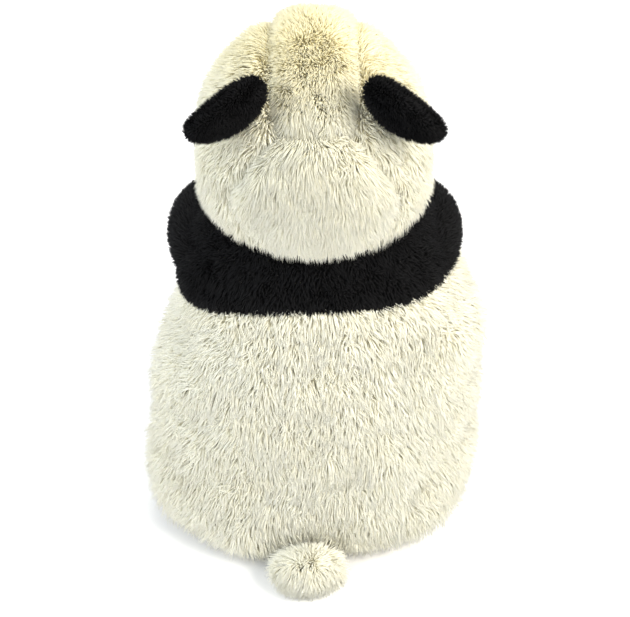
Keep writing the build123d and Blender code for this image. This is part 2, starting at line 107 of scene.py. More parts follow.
floor_mesh = bpy.data.meshes.new("floor")
floor_corners = [(x * FLOOR_HALF, y * FLOOR_HALF, FLOOR_LEVEL)
                 for x, y in ((-1, -1), (1, -1), (1, 1), (-1, 1))]
floor_mesh.from_pydata(floor_corners, [], [(0, 1, 2, 3)])
floor = new_object("floor", floor_mesh)
floor_finish = bpy.data.materials.new("pale_table")
floor_finish.use_nodes = True
floor_shader = floor_finish.node_tree.nodes["Principled BSDF"]
floor_shader.inputs["Base Color"].default_value = (0.94, 0.94, 0.94, 1)
floor_shader.inputs["Roughness"].default_value = 0.9
floor_mesh.materials.append(floor_finish)

# --- Pile fabric ------------------------------------------------------------------
# The covers are knitted pile fabric: a thin backing with long brushed fibre on the body
# and head, and short dense fibre on the black parts. The fibre lies in small locks.

THIN = 1.0
BARE = 0.05                    # where the pile is shorter than this share, none grows


def new_finish(name, rough, specular):
    """A finish, with its nodes, its links and its shader."""
    finish = bpy.data.materials.new(name)
    finish.use_nodes = True
    nodes, links = finish.node_tree.nodes, finish.node_tree.links
    shader = nodes["Principled BSDF"]
    shader.inputs["Roughness"].default_value = rough
    shader.inputs["Specular IOR Level"].default_value = specular
    return finish, nodes, links, shader


def colour_ramp(nodes, low, high, stops=(0.0, 1.0)):
    """A ramp from one colour to another."""
    ramp = nodes.new("ShaderNodeValToRGB")
    for element, place, colour in zip(ramp.color_ramp.elements, stops, (low, high)):
        element.position, element.color = place, (*colour, 1)
    return ramp


def cloth_finish(name, base, shade, rough=0.95):
    """The knitted backing under the pile: mottled colour and a fine knobbly bump."""
    finish, nodes, links, shader = new_finish(name, rough, 0.2)
    coords = nodes.new("ShaderNodeTexCoord")
    mottle = nodes.new("ShaderNodeTexNoise")
    mottle.inputs["Scale"].default_value = 160
    mottle.inputs["Detail"].default_value = 5
    ramp = colour_ramp(nodes, shade, base, (0.3, 0.7))
    knobs = nodes.new("ShaderNodeTexVoronoi")
    knobs.inputs["Scale"].default_value = 900
    bump = nodes.new("ShaderNodeBump")
    bump.inputs["Strength"].default_value = 0.5
    bump.inputs["Distance"].default_value = 0.0006
    links.new(coords.outputs["Object"], mottle.inputs["Vector"])
    links.new(coords.outputs["Object"], knobs.inputs["Vector"])
    links.new(mottle.outputs["Fac"], ramp.inputs["Fac"])
    links.new(ramp.outputs["Color"], shader.inputs["Base Color"])
    links.new(knobs.outputs["Distance"], bump.inputs["Height"])
    links.new(bump.outputs["Normal"], shader.inputs["Normal"])
    return finish


def pile_finish(name, root, middle, tip, warm, sheen, rough):
    """Fibre coloured along its length by v, and lock by lock by u, of its own map. Along its
    length it is darker towards the root: painted shade deep in the pile.
    """
    finish, nodes, links, shader = new_finish(name, rough, 0.15)
    shader.inputs["Sheen Weight"].default_value = sheen
    shader.inputs["Sheen Roughness"].default_value = 0.4
    lie = nodes.new("ShaderNodeUVMap")
    lie.uv_map = "OFBake"
    split = nodes.new("ShaderNodeSeparateXYZ")
    # Painted shade: the fibre is darkest at its root, where the locks shade each other, and
    # lightens towards its tip.
    along = colour_ramp(nodes, root, tip)
    along.color_ramp.elements.new(0.45).color = (*middle, 1)
    tint = nodes.new("ShaderNodeMix")
    tint.data_type, tint.blend_type = "RGBA", "MULTIPLY"
    tint.inputs["Factor"].default_value = 1.0
    by_lock = colour_ramp(nodes, (1, 1, 1), warm)
    links.new(lie.outputs["UV"], split.inputs["Vector"])
    links.new(split.outputs["Y"], along.inputs["Fac"])
    links.new(split.outputs["X"], by_lock.inputs["Fac"])
    links.new(along.outputs["Color"], tint.inputs["A"])
    links.new(by_lock.outputs["Color"], tint.inputs["B"])
    links.new(tint.outputs["Result"], shader.inputs["Base Color"])
    return finish


def new_tree(name, *inputs):
    """A tree with these named inputs, and its input and output nodes."""
    tree = bpy.data.node_groups.new(name, "GeometryNodeTree")
    for label, kind in (("Geometry", "Geometry"), *inputs):
        tree.interface.new_socket(label, in_out="INPUT", socket_type=f"NodeSocket{kind}")
    tree.interface.new_socket("Geometry", in_out="OUTPUT", socket_type="NodeSocketGeometry")
    return tree, tree.nodes.new("NodeGroupInput"), tree.nodes.new("NodeGroupOutput")


def pile_tree():
    """Locks of fibre on a skin, combed along its comb attribute and scaled by its pile."""
    tree, given, out = new_tree(
        "pile", ("Locks per square metre", "Float"), ("Length", "Float"), ("Width", "Float"),
        ("Lean", "Float"), ("Clump", "Float"), ("Stray", "Float"), ("Seed", "Int"),
        ("Finish", "Material"),
    )
    add, link = tree.nodes.new, tree.links.new

    def maths(operation, first, second):
        node = add("ShaderNodeMath")
        node.operation = operation
        for socket, value in zip(node.inputs, (first, second)):
            if isinstance(value, (int, float)):
                socket.default_value = value
            else:
                link(value, socket)
        return node.outputs[0]

    def vectors(operation, first, second=None, scale=None):
        node = add("ShaderNodeVectorMath")
        node.operation = operation
        link(first, node.inputs[0])
        if isinstance(second, tuple):
            node.inputs[1].default_value = second
        elif second:
            link(second, node.inputs[1])
        if scale:
            link(scale, node.inputs["Scale"])
        return node.outputs["Value"] if operation == "DOT_PRODUCT" else node.outputs[0]

    def combined(**axes):
        node = add("ShaderNodeCombineXYZ")
        for axis, value in axes.items():
            link(value, node.inputs[axis])
        return node.outputs[0]

    def attribute(name, kind):
        node = add("GeometryNodeInputNamedAttribute")
        node.data_type = kind
        node.inputs["Name"].default_value = name
        return node.outputs["Attribute"]

    def stored(geometry, name, kind, domain, value):
        node = add("GeometryNodeStoreNamedAttribute")
        node.data_type, node.domain = kind, domain
        node.inputs["Name"].default_value = name
        link(geometry, node.inputs["Geometry"])
        link(value, node.inputs["Value"])
        return node.outputs["Geometry"]

    def seed(offset):
        return maths("ADD", given.outputs["Seed"], offset)

    def drawn(low, high, offset):
        node = add("FunctionNodeRandomValue")
        node.data_type = "FLOAT"
        node.inputs[2].default_value, node.inputs[3].default_value = low, high
        link(seed(offset), node.inputs["Seed"])
        return node.outputs[1]

    def noise(scale, detail, offset):
        node = add("ShaderNodeTexNoise")
        node.noise_dimensions = "4D"
        node.inputs["Scale"].default_value = scale
        node.inputs["Detail"].default_value = detail
        link(seed(offset), node.inputs["W"])
        return node

    def clumps(scale, strength, offset):
        centred = vectors("SUBTRACT", noise(scale, 1, offset).outputs["Color"], (0.5, 0.5, 0.5))
        return vectors("SCALE", centred,
                       scale=maths("MULTIPLY", given.outputs["Clump"], strength))

    scatter = add("GeometryNodeDistributePointsOnFaces")
    link(given.outputs["Geometry"], scatter.inputs["Mesh"])
    clothed = add("FunctionNodeCompare")
    clothed.data_type, clothed.operation = "FLOAT", "GREATER_THAN"
    link(attribute("pile", "FLOAT"), clothed.inputs["A"])
    clothed.inputs["B"].default_value = BARE
    link(maths("MULTIPLY", clothed.outputs["Result"], given.outputs["Locks per square metre"]),
         scatter.inputs["Density"])
    link(given.outputs["Seed"], scatter.inputs["Seed"])

    upright = add("FunctionNodeAlignRotationToVector")
    upright.axis = "Z"
    link(scatter.outputs["Normal"], upright.inputs["Vector"])
    combed = add("FunctionNodeAlignRotationToVector")
    combed.axis, combed.pivot_axis = "X", "Z"
    link(upright.outputs[0], combed.inputs["Rotation"])
    link(attribute("comb", "FLOAT_VECTOR"), combed.inputs["Vector"])
    swirl = maths("MULTIPLY", maths("SUBTRACT", noise(55, 2, 3).outputs[0], 0.5), 5.2)

    # Where each lock lies: along the comb, drawn together into clumps of two sizes.
    lie = vectors("ADD", attribute("comb", "FLOAT_VECTOR"), clumps(48, 4.0, 8))
    lie = vectors("ADD", lie, clumps(150, 4.5, 9))
    normal = scatter.outputs["Normal"]
    lift = vectors("DOT_PRODUCT", lie, normal)
    lie = vectors("SUBTRACT", lie, vectors("SCALE", normal, scale=lift))
    stray = maths("MULTIPLY", drawn(-1, 1, 1), given.outputs["Stray"])
    lean_stray = maths("MULTIPLY", drawn(-0.6, 0.6, 2), given.outputs["Stray"])
    to_rotation = add("FunctionNodeEulerToRotation")
    link(combined(Y=lean_stray, Z=maths("ADD", swirl, stray)), to_rotation.inputs[0])
    turned = add("FunctionNodeRotateRotation")
    turned.rotation_space = "LOCAL"
    link(combed.outputs[0], turned.inputs["Rotation"])
    link(to_rotation.outputs[0], turned.inputs["Rotate By"])

    # One lock: a three-sided cone, drawn in a little towards its tip.
    lock = add("GeometryNodeMeshCone")
    lock.fill_type = "NONE"
    lock.inputs["Vertices"].default_value = 3
    lock.inputs["Side Segments"].default_value = 2
    lock.inputs["Radius Top"].default_value = 0.0
    lock.inputs["Radius Bottom"].default_value = 0.5
    lock.inputs["Depth"].default_value = 1.0
    place = add("GeometryNodeInputPosition")
    parts = add("ShaderNodeSeparateXYZ")
    link(place.outputs[0], parts.inputs[0])
    rise = parts.outputs["Z"]
    marked = stored(lock.outputs["Mesh"], "strand", "FLOAT", "POINT", rise)
    bend = add("GeometryNodeSetPosition")
    link(marked, bend.inputs["Geometry"])
    link(combined(Z=maths("MULTIPLY", rise, -0.12)), bend.inputs["Offset"])

    tint = maths("ADD", maths("MULTIPLY", noise(28, 2, 7).outputs[0], 0.75), drawn(-0.2, 0.35, 4))
    points = stored(scatter.outputs["Points"], "tint", "FLOAT", "POINT", tint)
    points = stored(points, "lie", "FLOAT_VECTOR", "POINT", lie)
    wide = maths("MULTIPLY", given.outputs["Width"], drawn(0.7, 1.3, 5))
    tall = maths("MULTIPLY", given.outputs["Length"], drawn(0.7, 1.2, 6))
    tall = maths("MULTIPLY", tall, attribute("pile", "FLOAT"))
    placed = add("GeometryNodeInstanceOnPoints")
    link(points, placed.inputs["Points"])
    link(bend.outputs["Geometry"], placed.inputs["Instance"])
    link(turned.outputs[0], placed.inputs["Rotation"])
    link(combined(X=wide, Y=wide, Z=tall), placed.inputs["Scale"])

    real = add("GeometryNodeRealizeInstances")
    link(placed.outputs["Instances"], real.inputs["Geometry"])

    # Each lock leans along the comb direction more and more towards its tip.
    droop = add("GeometryNodeSetPosition")
    strand = attribute("strand", "FLOAT")
    reach = maths("MULTIPLY", maths("MULTIPLY", strand, strand), given.outputs["Lean"])
    reach = maths("MULTIPLY", reach, given.outputs["Length"])
    reach = maths("MULTIPLY", reach, attribute("pile", "FLOAT"))
    link(real.outputs[0], droop.inputs["Geometry"])
    link(vectors("SCALE", attribute("lie", "FLOAT_VECTOR"), scale=reach), droop.inputs["Offset"])

    map_place = combined(X=attribute("tint", "FLOAT"), Y=strand)
    mapped = stored(droop.outputs["Geometry"], "OFBake", "FLOAT2", "CORNER", map_place)
    smooth = add("GeometryNodeSetShadeSmooth")
    link(mapped, smooth.inputs["Geometry"])
    painted = add("GeometryNodeSetMaterial")
    link(smooth.outputs["Geometry"], painted.inputs["Geometry"])
    link(given.outputs["Finish"], painted.inputs["Material"])
    link(painted.outputs["Geometry"], out.inputs[0])
    return tree


PILE = pile_tree()
FLOOR_GAP = 0.0002             # the pile is pressed flat where it would pass through the table
pile_seed = 11


def settled(piece, **keep):
    """A piece's mesh with its modifiers applied."""
    graph = bpy.context.evaluated_depsgraph_get()
    return bpy.data.meshes.new_from_object(piece.evaluated_get(graph), depsgraph=graph, **keep)


def run_tree(piece, tree, values, **keep):
    """The plain mesh that a tree makes of a piece, which then loses the tree again."""
    maker = piece.modifiers.new(tree.name, "NODES")
    maker.node_group = tree
    for item in tree.interface.items_tree:
        if item.in_out == "INPUT" and item.name in values:
            maker[item.identifier] = values[item.name]
    piece.update_tag()
    mesh = settled(piece, **keep)
    piece.modifiers.remove(maker)
    return mesh


def places_of(mesh, kind="co"):
    """The places, or the normals, of a mesh's points."""
    places = np.empty(len(mesh.vertices) * 3, np.float32)
    mesh.vertices.foreach_get(kind, places)
    return places.reshape(-1, 3)


def move_to(mesh, places):
    """Put a mesh's points at these places."""
    mesh.vertices.foreach_set("co", places.astype(np.float32).reshape(-1))


def grow_pile(name, skin, finish, locks, length, width, lean, stray, clump=0.6):
    """Pile on a skin, made real as a plain mesh with about this many locks."""
    global pile_seed
    pile_seed += 1
    area = sum(polygon.area for polygon in skin.data.polygons)
    values = {
        "Locks per square metre": locks * THIN / area, "Length": length, "Width": width,
        "Lean": lean, "Clump": clump, "Stray": stray, "Seed": pile_seed, "Finish": finish,
    }
    mesh = run_tree(skin, PILE, values, preserve_all_data_layers=True)
    mesh.name = name
    places = places_of(mesh)
    places[:, 2] = np.maximum(places[:, 2], FLOOR_GAP)
    move_to(mesh, places)
    for spare in ("strand", "tint", "comb", "pile", "lie"):
        if spare in mesh.attributes:
            mesh.attributes.remove(mesh.attributes[spare])
    return new_object(name, mesh)


CREAM_CLOTH = cloth_finish("cream_backing", (0.80, 0.77, 0.64), (0.72, 0.68, 0.54))
# Cream pile: its first colour is painted shade at the roots of the locks, lightening towards the
# tips.
CREAM_PILE = pile_finish(
    "cream_pile", (0.74, 0.71, 0.57), (0.83, 0.815, 0.70), (0.86, 0.86, 0.78),
    (0.985, 0.96, 0.87), 0.08, 0.9,
)
BLACK_CLOTH = cloth_finish("black_backing", (0.005, 0.005, 0.006), (0.002, 0.002, 0.002))
# Black pile: its first colour is painted shade at the roots of the locks, a little lighter at the
# tips.
BLACK_PILE = pile_finish(
    "black_pile", (0.0012, 0.0012, 0.0012), (0.0028, 0.0028, 0.0030), (0.0085, 0.0085, 0.0095),
    (0.5, 0.5, 0.55), 0.0, 0.75,
)

# --- Body cover -------------------------------------------------------------------
# Three cream panels, sewn inside out and turned: a back, a belly and a nearly flat seat.
# The stuffing pushes them out into a soft barrel with a few slack folds.


def corners(node):
    """A node's lowest and highest corners."""
    return tuple(np.array(corner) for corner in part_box(node))


band_low, band_high = corners("shoulder_band")
back_low, back_high = corners("back_panel")
SEAT_SEAM = corners("seat_panel")[1][2]
HALF_WIDTH = (back_high[0] - back_low[0]) / 2
HALF_DEPTH = (back_high[1] - corners("belly_panel")[0][1]) / 2
SHOULDER_TOP = band_high[2]
SQUARENESS = 2.25              # the outline is a little squarer than an ellipse, which has 2
CLOTH_THICKNESS = 0.0012
CREAM_ROOM = 0.0065            # depth of the cream pile as it lies
BLACK_ROOM = 0.0025
SEAM_DIP, SEAM_REACH = 0.0025, 0.004        # how deep and how wide a seam draws the cover in
LUMPS = 0.0013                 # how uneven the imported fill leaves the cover


def smooth_line(stations, values, softness=7):
    """A rounded curve through stations, as a function."""
    fine = np.linspace(stations[0], stations[-1], 301)
    line = np.interp(fine, stations, values)
    window = np.hanning(4 * softness + 1)
    window /= window.sum()
    ends = np.full(2 * softness, line[0]), np.full(2 * softness, line[-1])
    line = np.convolve(np.concatenate((ends[0], line, ends[1])), window, "valid")
    return lambda place: np.interp(place, fine, line)


def steady(value):
    """The same value all the way, as a function."""
    return lambda place: np.full_like(place, value)


def unit(vectors):
    """Vectors made one long."""
    return vectors / np.linalg.norm(vectors, axis=-1, keepdims=True)


heights = (0.0, 0.035, 0.09, 0.20, 0.45, 0.62, 0.72, 0.80, 0.88, 0.94, 1.0)
widths = (0.86, 0.94, 0.99, 1.01, 1.01, 0.97, 0.93, 0.87, 0.79, 0.73, 0.64)
depths = (0.84, 0.92, 0.98, 1.00, 1.00, 0.97, 0.95, 0.92, 0.87, 0.83, 0.76)
leans = (0, 0, 0, 0, -0.001, -0.002, -0.003, -0.005, -0.006, -0.007, -0.008)
width_at, depth_at, lean_at = (smooth_line(heights, line) for line in (widths, depths, leans))

# Slack folds and full places of the cover: start, end, how far in, how wide.
BODY_FOLDS = (
    ((0.058, 0.052, 0.163), (0.040, 0.070, 0.132), 0.0055, 0.0075),
    ((0.046, 0.074, 0.064), (-0.014, 0.078, 0.104), 0.0040, 0.0100),
    ((0.082, 0.030, 0.092), (0.060, 0.062, 0.100), 0.0030, 0.0090),
    ((-0.060, 0.060, 0.050), (-0.085, 0.020, 0.075), 0.0030, 0.0100),
    ((-0.030, 0.070, 0.150), (-0.060, 0.058, 0.158), 0.0030, 0.0100),
    ((-0.090, -0.010, 0.138), (-0.082, 0.035, 0.142), -0.0080, 0.0220),
    ((0.088, -0.050, 0.144), (0.080, 0.034, 0.148), 0.0100, 0.0230),
    ((0.090, 0.020, 0.105), (0.092, 0.010, 0.070), -0.0010, 0.0250),
    ((0.086, 0.020, 0.022), (0.045, 0.066, 0.012), -0.0085, 0.0320),
    ((-0.030, 0.070, 0.006), (-0.070, 0.050, 0.012), -0.0035, 0.0250),
    ((-0.092, 0.010, 0.100), (-0.094, 0.010, 0.050), -0.0015, 0.0250),
    ((0.050, -0.070, 0.090), (-0.050, -0.070, 0.092), 0.0035, 0.0120),
)


def uneven(points, scale, waves):
    """A gentle unevenness at each point, from three waves that cross."""
    return sum(np.sin(points @ (np.array(wave) * scale) + shift) for wave, shift in waves) / 3


def slack(points, outward):
    """Press the folds into points of the cover or of the fill beneath it."""
    for start, end, depth, width in BODY_FOLDS:
        dent = depth * np.exp(-((near_line(points, start, end) / width) ** 2))
        points = points - outward * dent[..., None]
    return points


def near_line(points, start, end):
    """Distance of each point from a straight stretch."""
    start, run = np.array(start), np.array(end) - np.array(start)
    share = np.clip(((points - start) @ run) / (run @ run), 0, 1)
    return np.linalg.norm(points - start - share[..., None] * run, axis=-1)


def body_points(angle, height, room):
    """Points of the body's cover at angles round it, 0 at its left and 90 at its back."""
    share = height / SHOULDER_TOP
    half_width = HALF_WIDTH * width_at(share) - room
    half_depth = HALF_DEPTH * depth_at(share) - room
    c, s = np.cos(angle), np.sin(angle)
    swell = (np.abs(c) ** SQUARENESS + np.abs(s) ** SQUARENESS) ** (-1 / SQUARENESS)
    points = np.stack((
        half_width * c * swell, half_depth * s * swell + lean_at(share),
        height * np.ones_like(angle),
    ), axis=-1)
    outward = unit(np.stack((c / half_width, s / half_depth, 0 * c), axis=-1))
    lumps = uneven(points, 130, (((0.9, 0.3, 0.5), 0.4), ((-0.3, 0.6, 1.1), 2.0),
                                 ((0.5, -0.8, 0.9), 4.1)))
    points = points + outward * (LUMPS * lumps)[..., None]
    return slack(points, outward), outward


def grid_object(name, points, comb, pile, wrapped=False):
    """A skin from a grid of points, with the pile's lie and length kept on it."""
    rows, columns = points.shape[:2]
    faces = []
    for row in range(rows - 1):
        for column in range(columns if wrapped else columns - 1):
            after = (column + 1) % columns
            faces.append((
                row * columns + column, row * columns + after,
                (row + 1) * columns + after, (row + 1) * columns + column,
            ))
    mesh = bpy.data.meshes.new(name)
    mesh.from_pydata(points.reshape(-1, 3).tolist(), [], faces)
    mesh.polygons.foreach_set("use_smooth", [True] * len(faces))
    lie = mesh.attributes.new("comb", "FLOAT_VECTOR", "POINT")
    lie.data.foreach_set("vector", comb.reshape(-1).astype(np.float32))
    tall = mesh.attributes.new("pile", "FLOAT", "POINT")
    tall.data.foreach_set("value", pile.reshape(-1).astype(np.float32))
    mesh.update()
    return new_object(name, mesh)


def along_surface(direction, outward):
    """The part of a direction that lies in the cloth, as unit vectors."""
    flat = direction - outward * np.sum(direction * outward, axis=-1, keepdims=True)
    return flat / np.maximum(np.linalg.norm(flat, axis=-1, keepdims=True), 1e-9)


def dress(skin, coats, cloth, body, slot, *nodes, thickness=CLOTH_THICKNESS):
    """Finish a panel: its cloth's thickness, on the inside, and its colour, and then what it
    and its coats of pile ride on and what it stands for."""
    wall = skin.modifiers.new("cloth", "SOLIDIFY")
    wall.thickness, wall.offset = thickness, -1
    mesh = settled(skin)
    skin.modifiers.remove(wall)
    skin.data = mesh
    skin.data.materials.append(cloth)
    if nodes:
        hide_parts(*nodes)
    for piece in (skin, *coats):
        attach(piece, body)


BAND_SEAM = 0.1865             # height of its seam at the back
BAND_DROP_LEFT, BAND_DROP_RIGHT, BAND_DROP_FRONT = 0.024, 0.010, 0.006


def band_edge(angle):
    """Height of the seam between the body and the shoulder band, lower at the left."""
    left, right = np.maximum(np.cos(angle), 0), np.maximum(-np.cos(angle), 0)
    edge = BAND_SEAM - BAND_DROP_LEFT * left**2 - BAND_DROP_RIGHT * right**2
    return edge - BAND_DROP_FRONT * np.clip(-np.sin(angle), 0, 1)


def body_panel(name, first, last, low, high, rows, columns, room):
    """Part of the body's cover between two angles and two heights, drawn in at its edges."""
    angle, share = np.meshgrid(np.linspace(first, last, columns), np.linspace(0, 1, rows))
    height = low(angle) + (high(angle) - low(angle)) * share
    points, outward = body_points(angle, height, room)
    from_low, from_high = height - low(angle), high(angle) - height
    reach = HALF_WIDTH * np.minimum(angle - first, last - angle)
    edge = np.minimum(np.minimum(from_low, from_high), reach)
    dip = np.exp(-((edge / SEAM_REACH) ** 2))
    points = points - outward * (SEAM_DIP * dip)[..., None]
    down = np.zeros_like(points)
    down[..., 2] = -1
    comb = along_surface(down, outward)
    return grid_object(name, points, comb, 1 - 0.18 * dip)


body_rows, body_columns = 48, 90
back = body_panel("back_cover", 0, pi, steady(SEAT_SEAM), band_edge, body_rows, body_columns,
                  CREAM_ROOM)
belly = body_panel("belly_cover", pi, 2 * pi, steady(SEAT_SEAM), band_edge, body_rows,
                   body_columns, CREAM_ROOM)
for panel, node, under_locks, locks in (
    (back, "back_panel", 10500, 20000), (belly, "belly_panel", 4000, 10000),
):
    undercoat = grow_pile(panel.name.replace("cover", "undercoat"), panel, CREAM_PILE, under_locks,
                          0.0078, 0.0030, 0.55, 0.5, 0.8)
    pile = grow_pile(panel.name.replace("cover", "pile"), panel, CREAM_PILE, locks,
                     0.0102, 0.0015, 0.60, 0.5, 0.85)
    dress(panel, (undercoat, pile), CREAM_CLOTH, "body", "cream_plush", node)

# The seat is the flat end of the body. Its pile is pressed down by the toy's weight.
SEAT_LEVEL = 0.0012            # the flat middle stands this far above the table
SEAT_FLAT = 0.80               # share of the way out to the rim that is flat


def around(count):
    """Angles all the way round, with the last not on top of the first."""
    return np.linspace(0, 2 * pi, count + 1)[:-1]


angle, share = np.meshgrid(around(96), np.linspace(1, 0.02, 26))
rim, _ = body_points(angle, np.full_like(angle, SEAT_SEAM), CREAM_ROOM)
edge = np.clip((share - SEAT_FLAT) / 0.20, 0, 1)
seat_points = rim * share[..., None]
seat_points[..., 2] = SEAT_LEVEL + (SEAT_SEAM - SEAT_LEVEL) * edge**2
seat_outward = np.stack((0 * angle, 0 * angle, -np.ones_like(angle)), axis=-1)
from_middle = np.stack((np.cos(angle), np.sin(angle), 0 * angle), axis=-1)
seat_comb = along_surface(from_middle, seat_outward)
seat = grid_object("seat_cover", seat_points, seat_comb, 0.7 * edge, wrapped=True)
seat.data.flip_normals()
seat_pile = grow_pile("seat_pile", seat, CREAM_PILE, 4000, 0.007, 0.0019, 0.5, 0.4)
dress(seat, (seat_pile,), CREAM_CLOTH, "body", "cream_plush", "seat_panel")

# --- Shoulder band ----------------------------------------------------------------
# A strip of short black pile round the shoulders, from one arm to the other, that the
# head is sewn down on. It is drawn in at its seam with the cream body.

NECK_OVERLAP = 0.004           # the band runs on this far into the neck
band = body_panel("band_cover", 0, 2 * pi, band_edge, steady(SHOULDER_TOP + NECK_OVERLAP), 26,
                  160, BLACK_ROOM)
band_pile = grow_pile("band_pile", band, BLACK_PILE, 14000, 0.0042, 0.0016, 0.6, 0.5, 0.8)
dress(band, (band_pile,), BLACK_CLOTH, "body", "black_plush", "shoulder_band")

# --- Head cover -------------------------------------------------------------------
# Four panels over a round fill: two cheeks, the strip over the crown and the nape panel
# whose long pile hangs over the shoulders as a ruff.

joints = {joint["name"]: joint for joint in frame["record"]["behaviour"]["joints"]}
HEAD = np.array(joints["neck_turn"]["pos_m"])
HEAD_RADIUS = corners("head_side_left")[1][0]
HEAD_ROOM = 0.0045
HEAD_SEAM_DIP, HEAD_SEAM_REACH = 0.0038, 0.0050
IN_NECK = SHOULDER_TOP - 0.012      # the cover has no pile inside the neck
crease, brow, nape_end = radians(35), radians(152), radians(-34)

# Half width of the crown strip and the nape panel, by angle up from level at the back.
seam_angles = [radians(a) for a in (-180, -60, -34, -20, -8, 6, 21, 33, 37, 55, 100, 152, 180)]
seam_shares = (0.20, 0.22, 0.26, 0.55, 0.68, 0.62, 0.48, 0.29, 0.29, 0.36, 0.37, 0.33, 0.20)
seam_at = smooth_line(seam_angles, seam_shares, softness=3)


CROWN_DIR = np.array((0.0, -0.643, 0.766))     # from the middle of the head to the forehead
rises = (-1, 0, 0.25, 0.45, 0.65, 0.82, 1)
CROWN_LEFT = smooth_line(rises, (1, 1, 0.975, 0.94, 0.93, 0.92, 0.92), 2)
CROWN_RIGHT = smooth_line(rises, (1, 0.98, 0.94, 0.90, 0.85, 0.86, 0.88), 2)


def squeezed(points, outward):
    """The head is narrower towards its forehead, and flatter there on its right."""
    rise = outward @ CROWN_DIR
    share = np.where(points[..., 0] > 0, CROWN_LEFT(rise), CROWN_RIGHT(rise))
    blend = np.clip(np.abs(outward[..., 0]) / 0.15, 0, 1)
    share = 1 + (share - 1) * blend
    back = np.clip((outward[..., 1] + 0.80) / 0.28, 0, 1)
    points = points.copy()
    points[..., 0] *= 1 + (share - 1) * back
    return points


def head_points(turn, across):
    """Points of the head's cover: turn is the angle up from level at the back, and across
    is the share of the radius to the left."""
    radius = HEAD_RADIUS - HEAD_ROOM
    ring = np.sqrt(np.maximum(1 - across**2, 0))
    outward = np.stack((across, ring * np.cos(turn), ring * np.sin(turn)), axis=-1)
    face = np.clip(-outward[..., 1] * 0.75 + outward[..., 2] * 0.45, 0, 1)
    cheeks = np.clip(-outward[..., 2] - 0.05, 0, 1)
    narrow = 1 - 0.10 * face**2 * np.abs(across)
    full = 1 + 0.045 * np.abs(across) * cheeks
    points = HEAD + outward * radius * (narrow * full)[..., None]
    return squeezed(points, outward), outward


def head_panel(turns, inner, outer, rows, columns):
    """Part of the head between two turn angles, and from inner to outer across."""
    turn, share = np.meshgrid(np.linspace(*turns, rows), np.linspace(0, 1, columns), indexing="ij")
    near, far = inner(turn), outer(turn)
    across = near + (far - near) * share
    points, outward = head_points(turn, across)
    seam_distance = np.minimum(np.abs(across - near), np.abs(far - across)) * HEAD_RADIUS
    ends = np.minimum(turn - turns[0], turns[1] - turn) * HEAD_RADIUS
    return points, outward, seam_distance, ends


def comb_of_head(outward):
    """The head's pile is brushed back over the crown and down, and out over the cheeks."""
    back_and_down = np.array((0.0, 0.55, -0.85))
    out = outward * (0.5, 0, 0)
    return along_surface(back_and_down + out, outward)


def sewn_over(points):
    """How far the pile is hidden, 0 to 1, under the eye patches and the muzzle."""
    hidden = np.zeros(points.shape[:-1])
    for node, spread in (
        ("eye_patch_left", 1.2), ("eye_patch_right", 1.2), ("muzzle_cover", 0.95),
    ):
        low, high = corners(node)
        half = (high - low) / 2 * (1, 1.6, 1)
        gap = np.linalg.norm((points - (low + high) / 2) / half, axis=-1)
        hidden = np.maximum(hidden, np.clip((spread - gap) * 5 + 0.5, 0, 1))
    return hidden


def make_head_panel(name, nodes, turns, inner, outer, rows, columns, locks, length,
                    ends_sewn=True):
    """A panel of the head with its pile, drawn in where it is sewn."""
    points, outward, seam, ends = head_panel(turns, inner, outer, rows, columns)
    edge = np.minimum(seam, ends) if ends_sewn else seam
    dip = np.exp(-((edge / HEAD_SEAM_REACH) ** 2))
    points = points - outward * (HEAD_SEAM_DIP * dip)[..., None]
    tall = (1 - 0.3 * dip) * (1 - 0.8 * sewn_over(points)) * (points[..., 2] > IN_NECK)
    skin = grid_object(name, points, comb_of_head(outward), tall)
    pile = grow_pile(name.replace("cover", "pile"), skin, HEAD_PILE, locks, length,
                     0.0017, 0.5, 0.5)
    dress(skin, (pile,), CREAM_CLOTH, "head", "cream_plush", *nodes)


def minus_seam(turn):
    return -seam_at(turn)


# Head pile: its first colour is painted shade at the roots of the locks, lightening towards the
# tips.
HEAD_PILE = pile_finish(
    "head_pile", (0.76, 0.72, 0.57), (0.83, 0.815, 0.69), (0.87, 0.865, 0.77),
    (0.985, 0.96, 0.87), 0.08, 0.9,
)
# The head's pile is tinted yellower towards the forehead.
head_nodes, head_links = HEAD_PILE.node_tree.nodes, HEAD_PILE.node_tree.links
head_shader = head_nodes["Principled BSDF"]
plain = head_shader.inputs["Base Color"].links[0].from_socket
head_coords = head_nodes.new("ShaderNodeTexCoord")
from_head = head_nodes.new("ShaderNodeVectorMath")
from_head.operation = "SUBTRACT"
from_head.inputs[1].default_value = HEAD
towards_crown = head_nodes.new("ShaderNodeVectorMath")
towards_crown.operation = "DOT_PRODUCT"
towards_crown.inputs[1].default_value = (0, -0.34, 0.94)
yellowing = head_nodes.new("ShaderNodeMapRange")
yellowing.interpolation_type = "SMOOTHSTEP"
yellowing.inputs["From Min"].default_value = 0.012
yellowing.inputs["From Max"].default_value = 0.070
yellowing.inputs["To Max"].default_value = 0.75
warmed = head_nodes.new("ShaderNodeMix")
warmed.data_type, warmed.blend_type = "RGBA", "MULTIPLY"
warmed.inputs["B"].default_value = (1.0, 0.93, 0.70, 1)
head_links.new(head_coords.outputs["Object"], from_head.inputs[0])
head_links.new(from_head.outputs[0], towards_crown.inputs[0])
head_links.new(towards_crown.outputs["Value"], yellowing.inputs["Value"])
head_links.new(yellowing.outputs["Result"], warmed.inputs["Factor"])
head_links.new(plain, warmed.inputs["A"])
head_links.new(warmed.outputs["Result"], head_shader.inputs["Base Color"])
CROWN_PILE, NAPE_PILE, CHIN_PILE = 0.0090, 0.0115, 0.0080
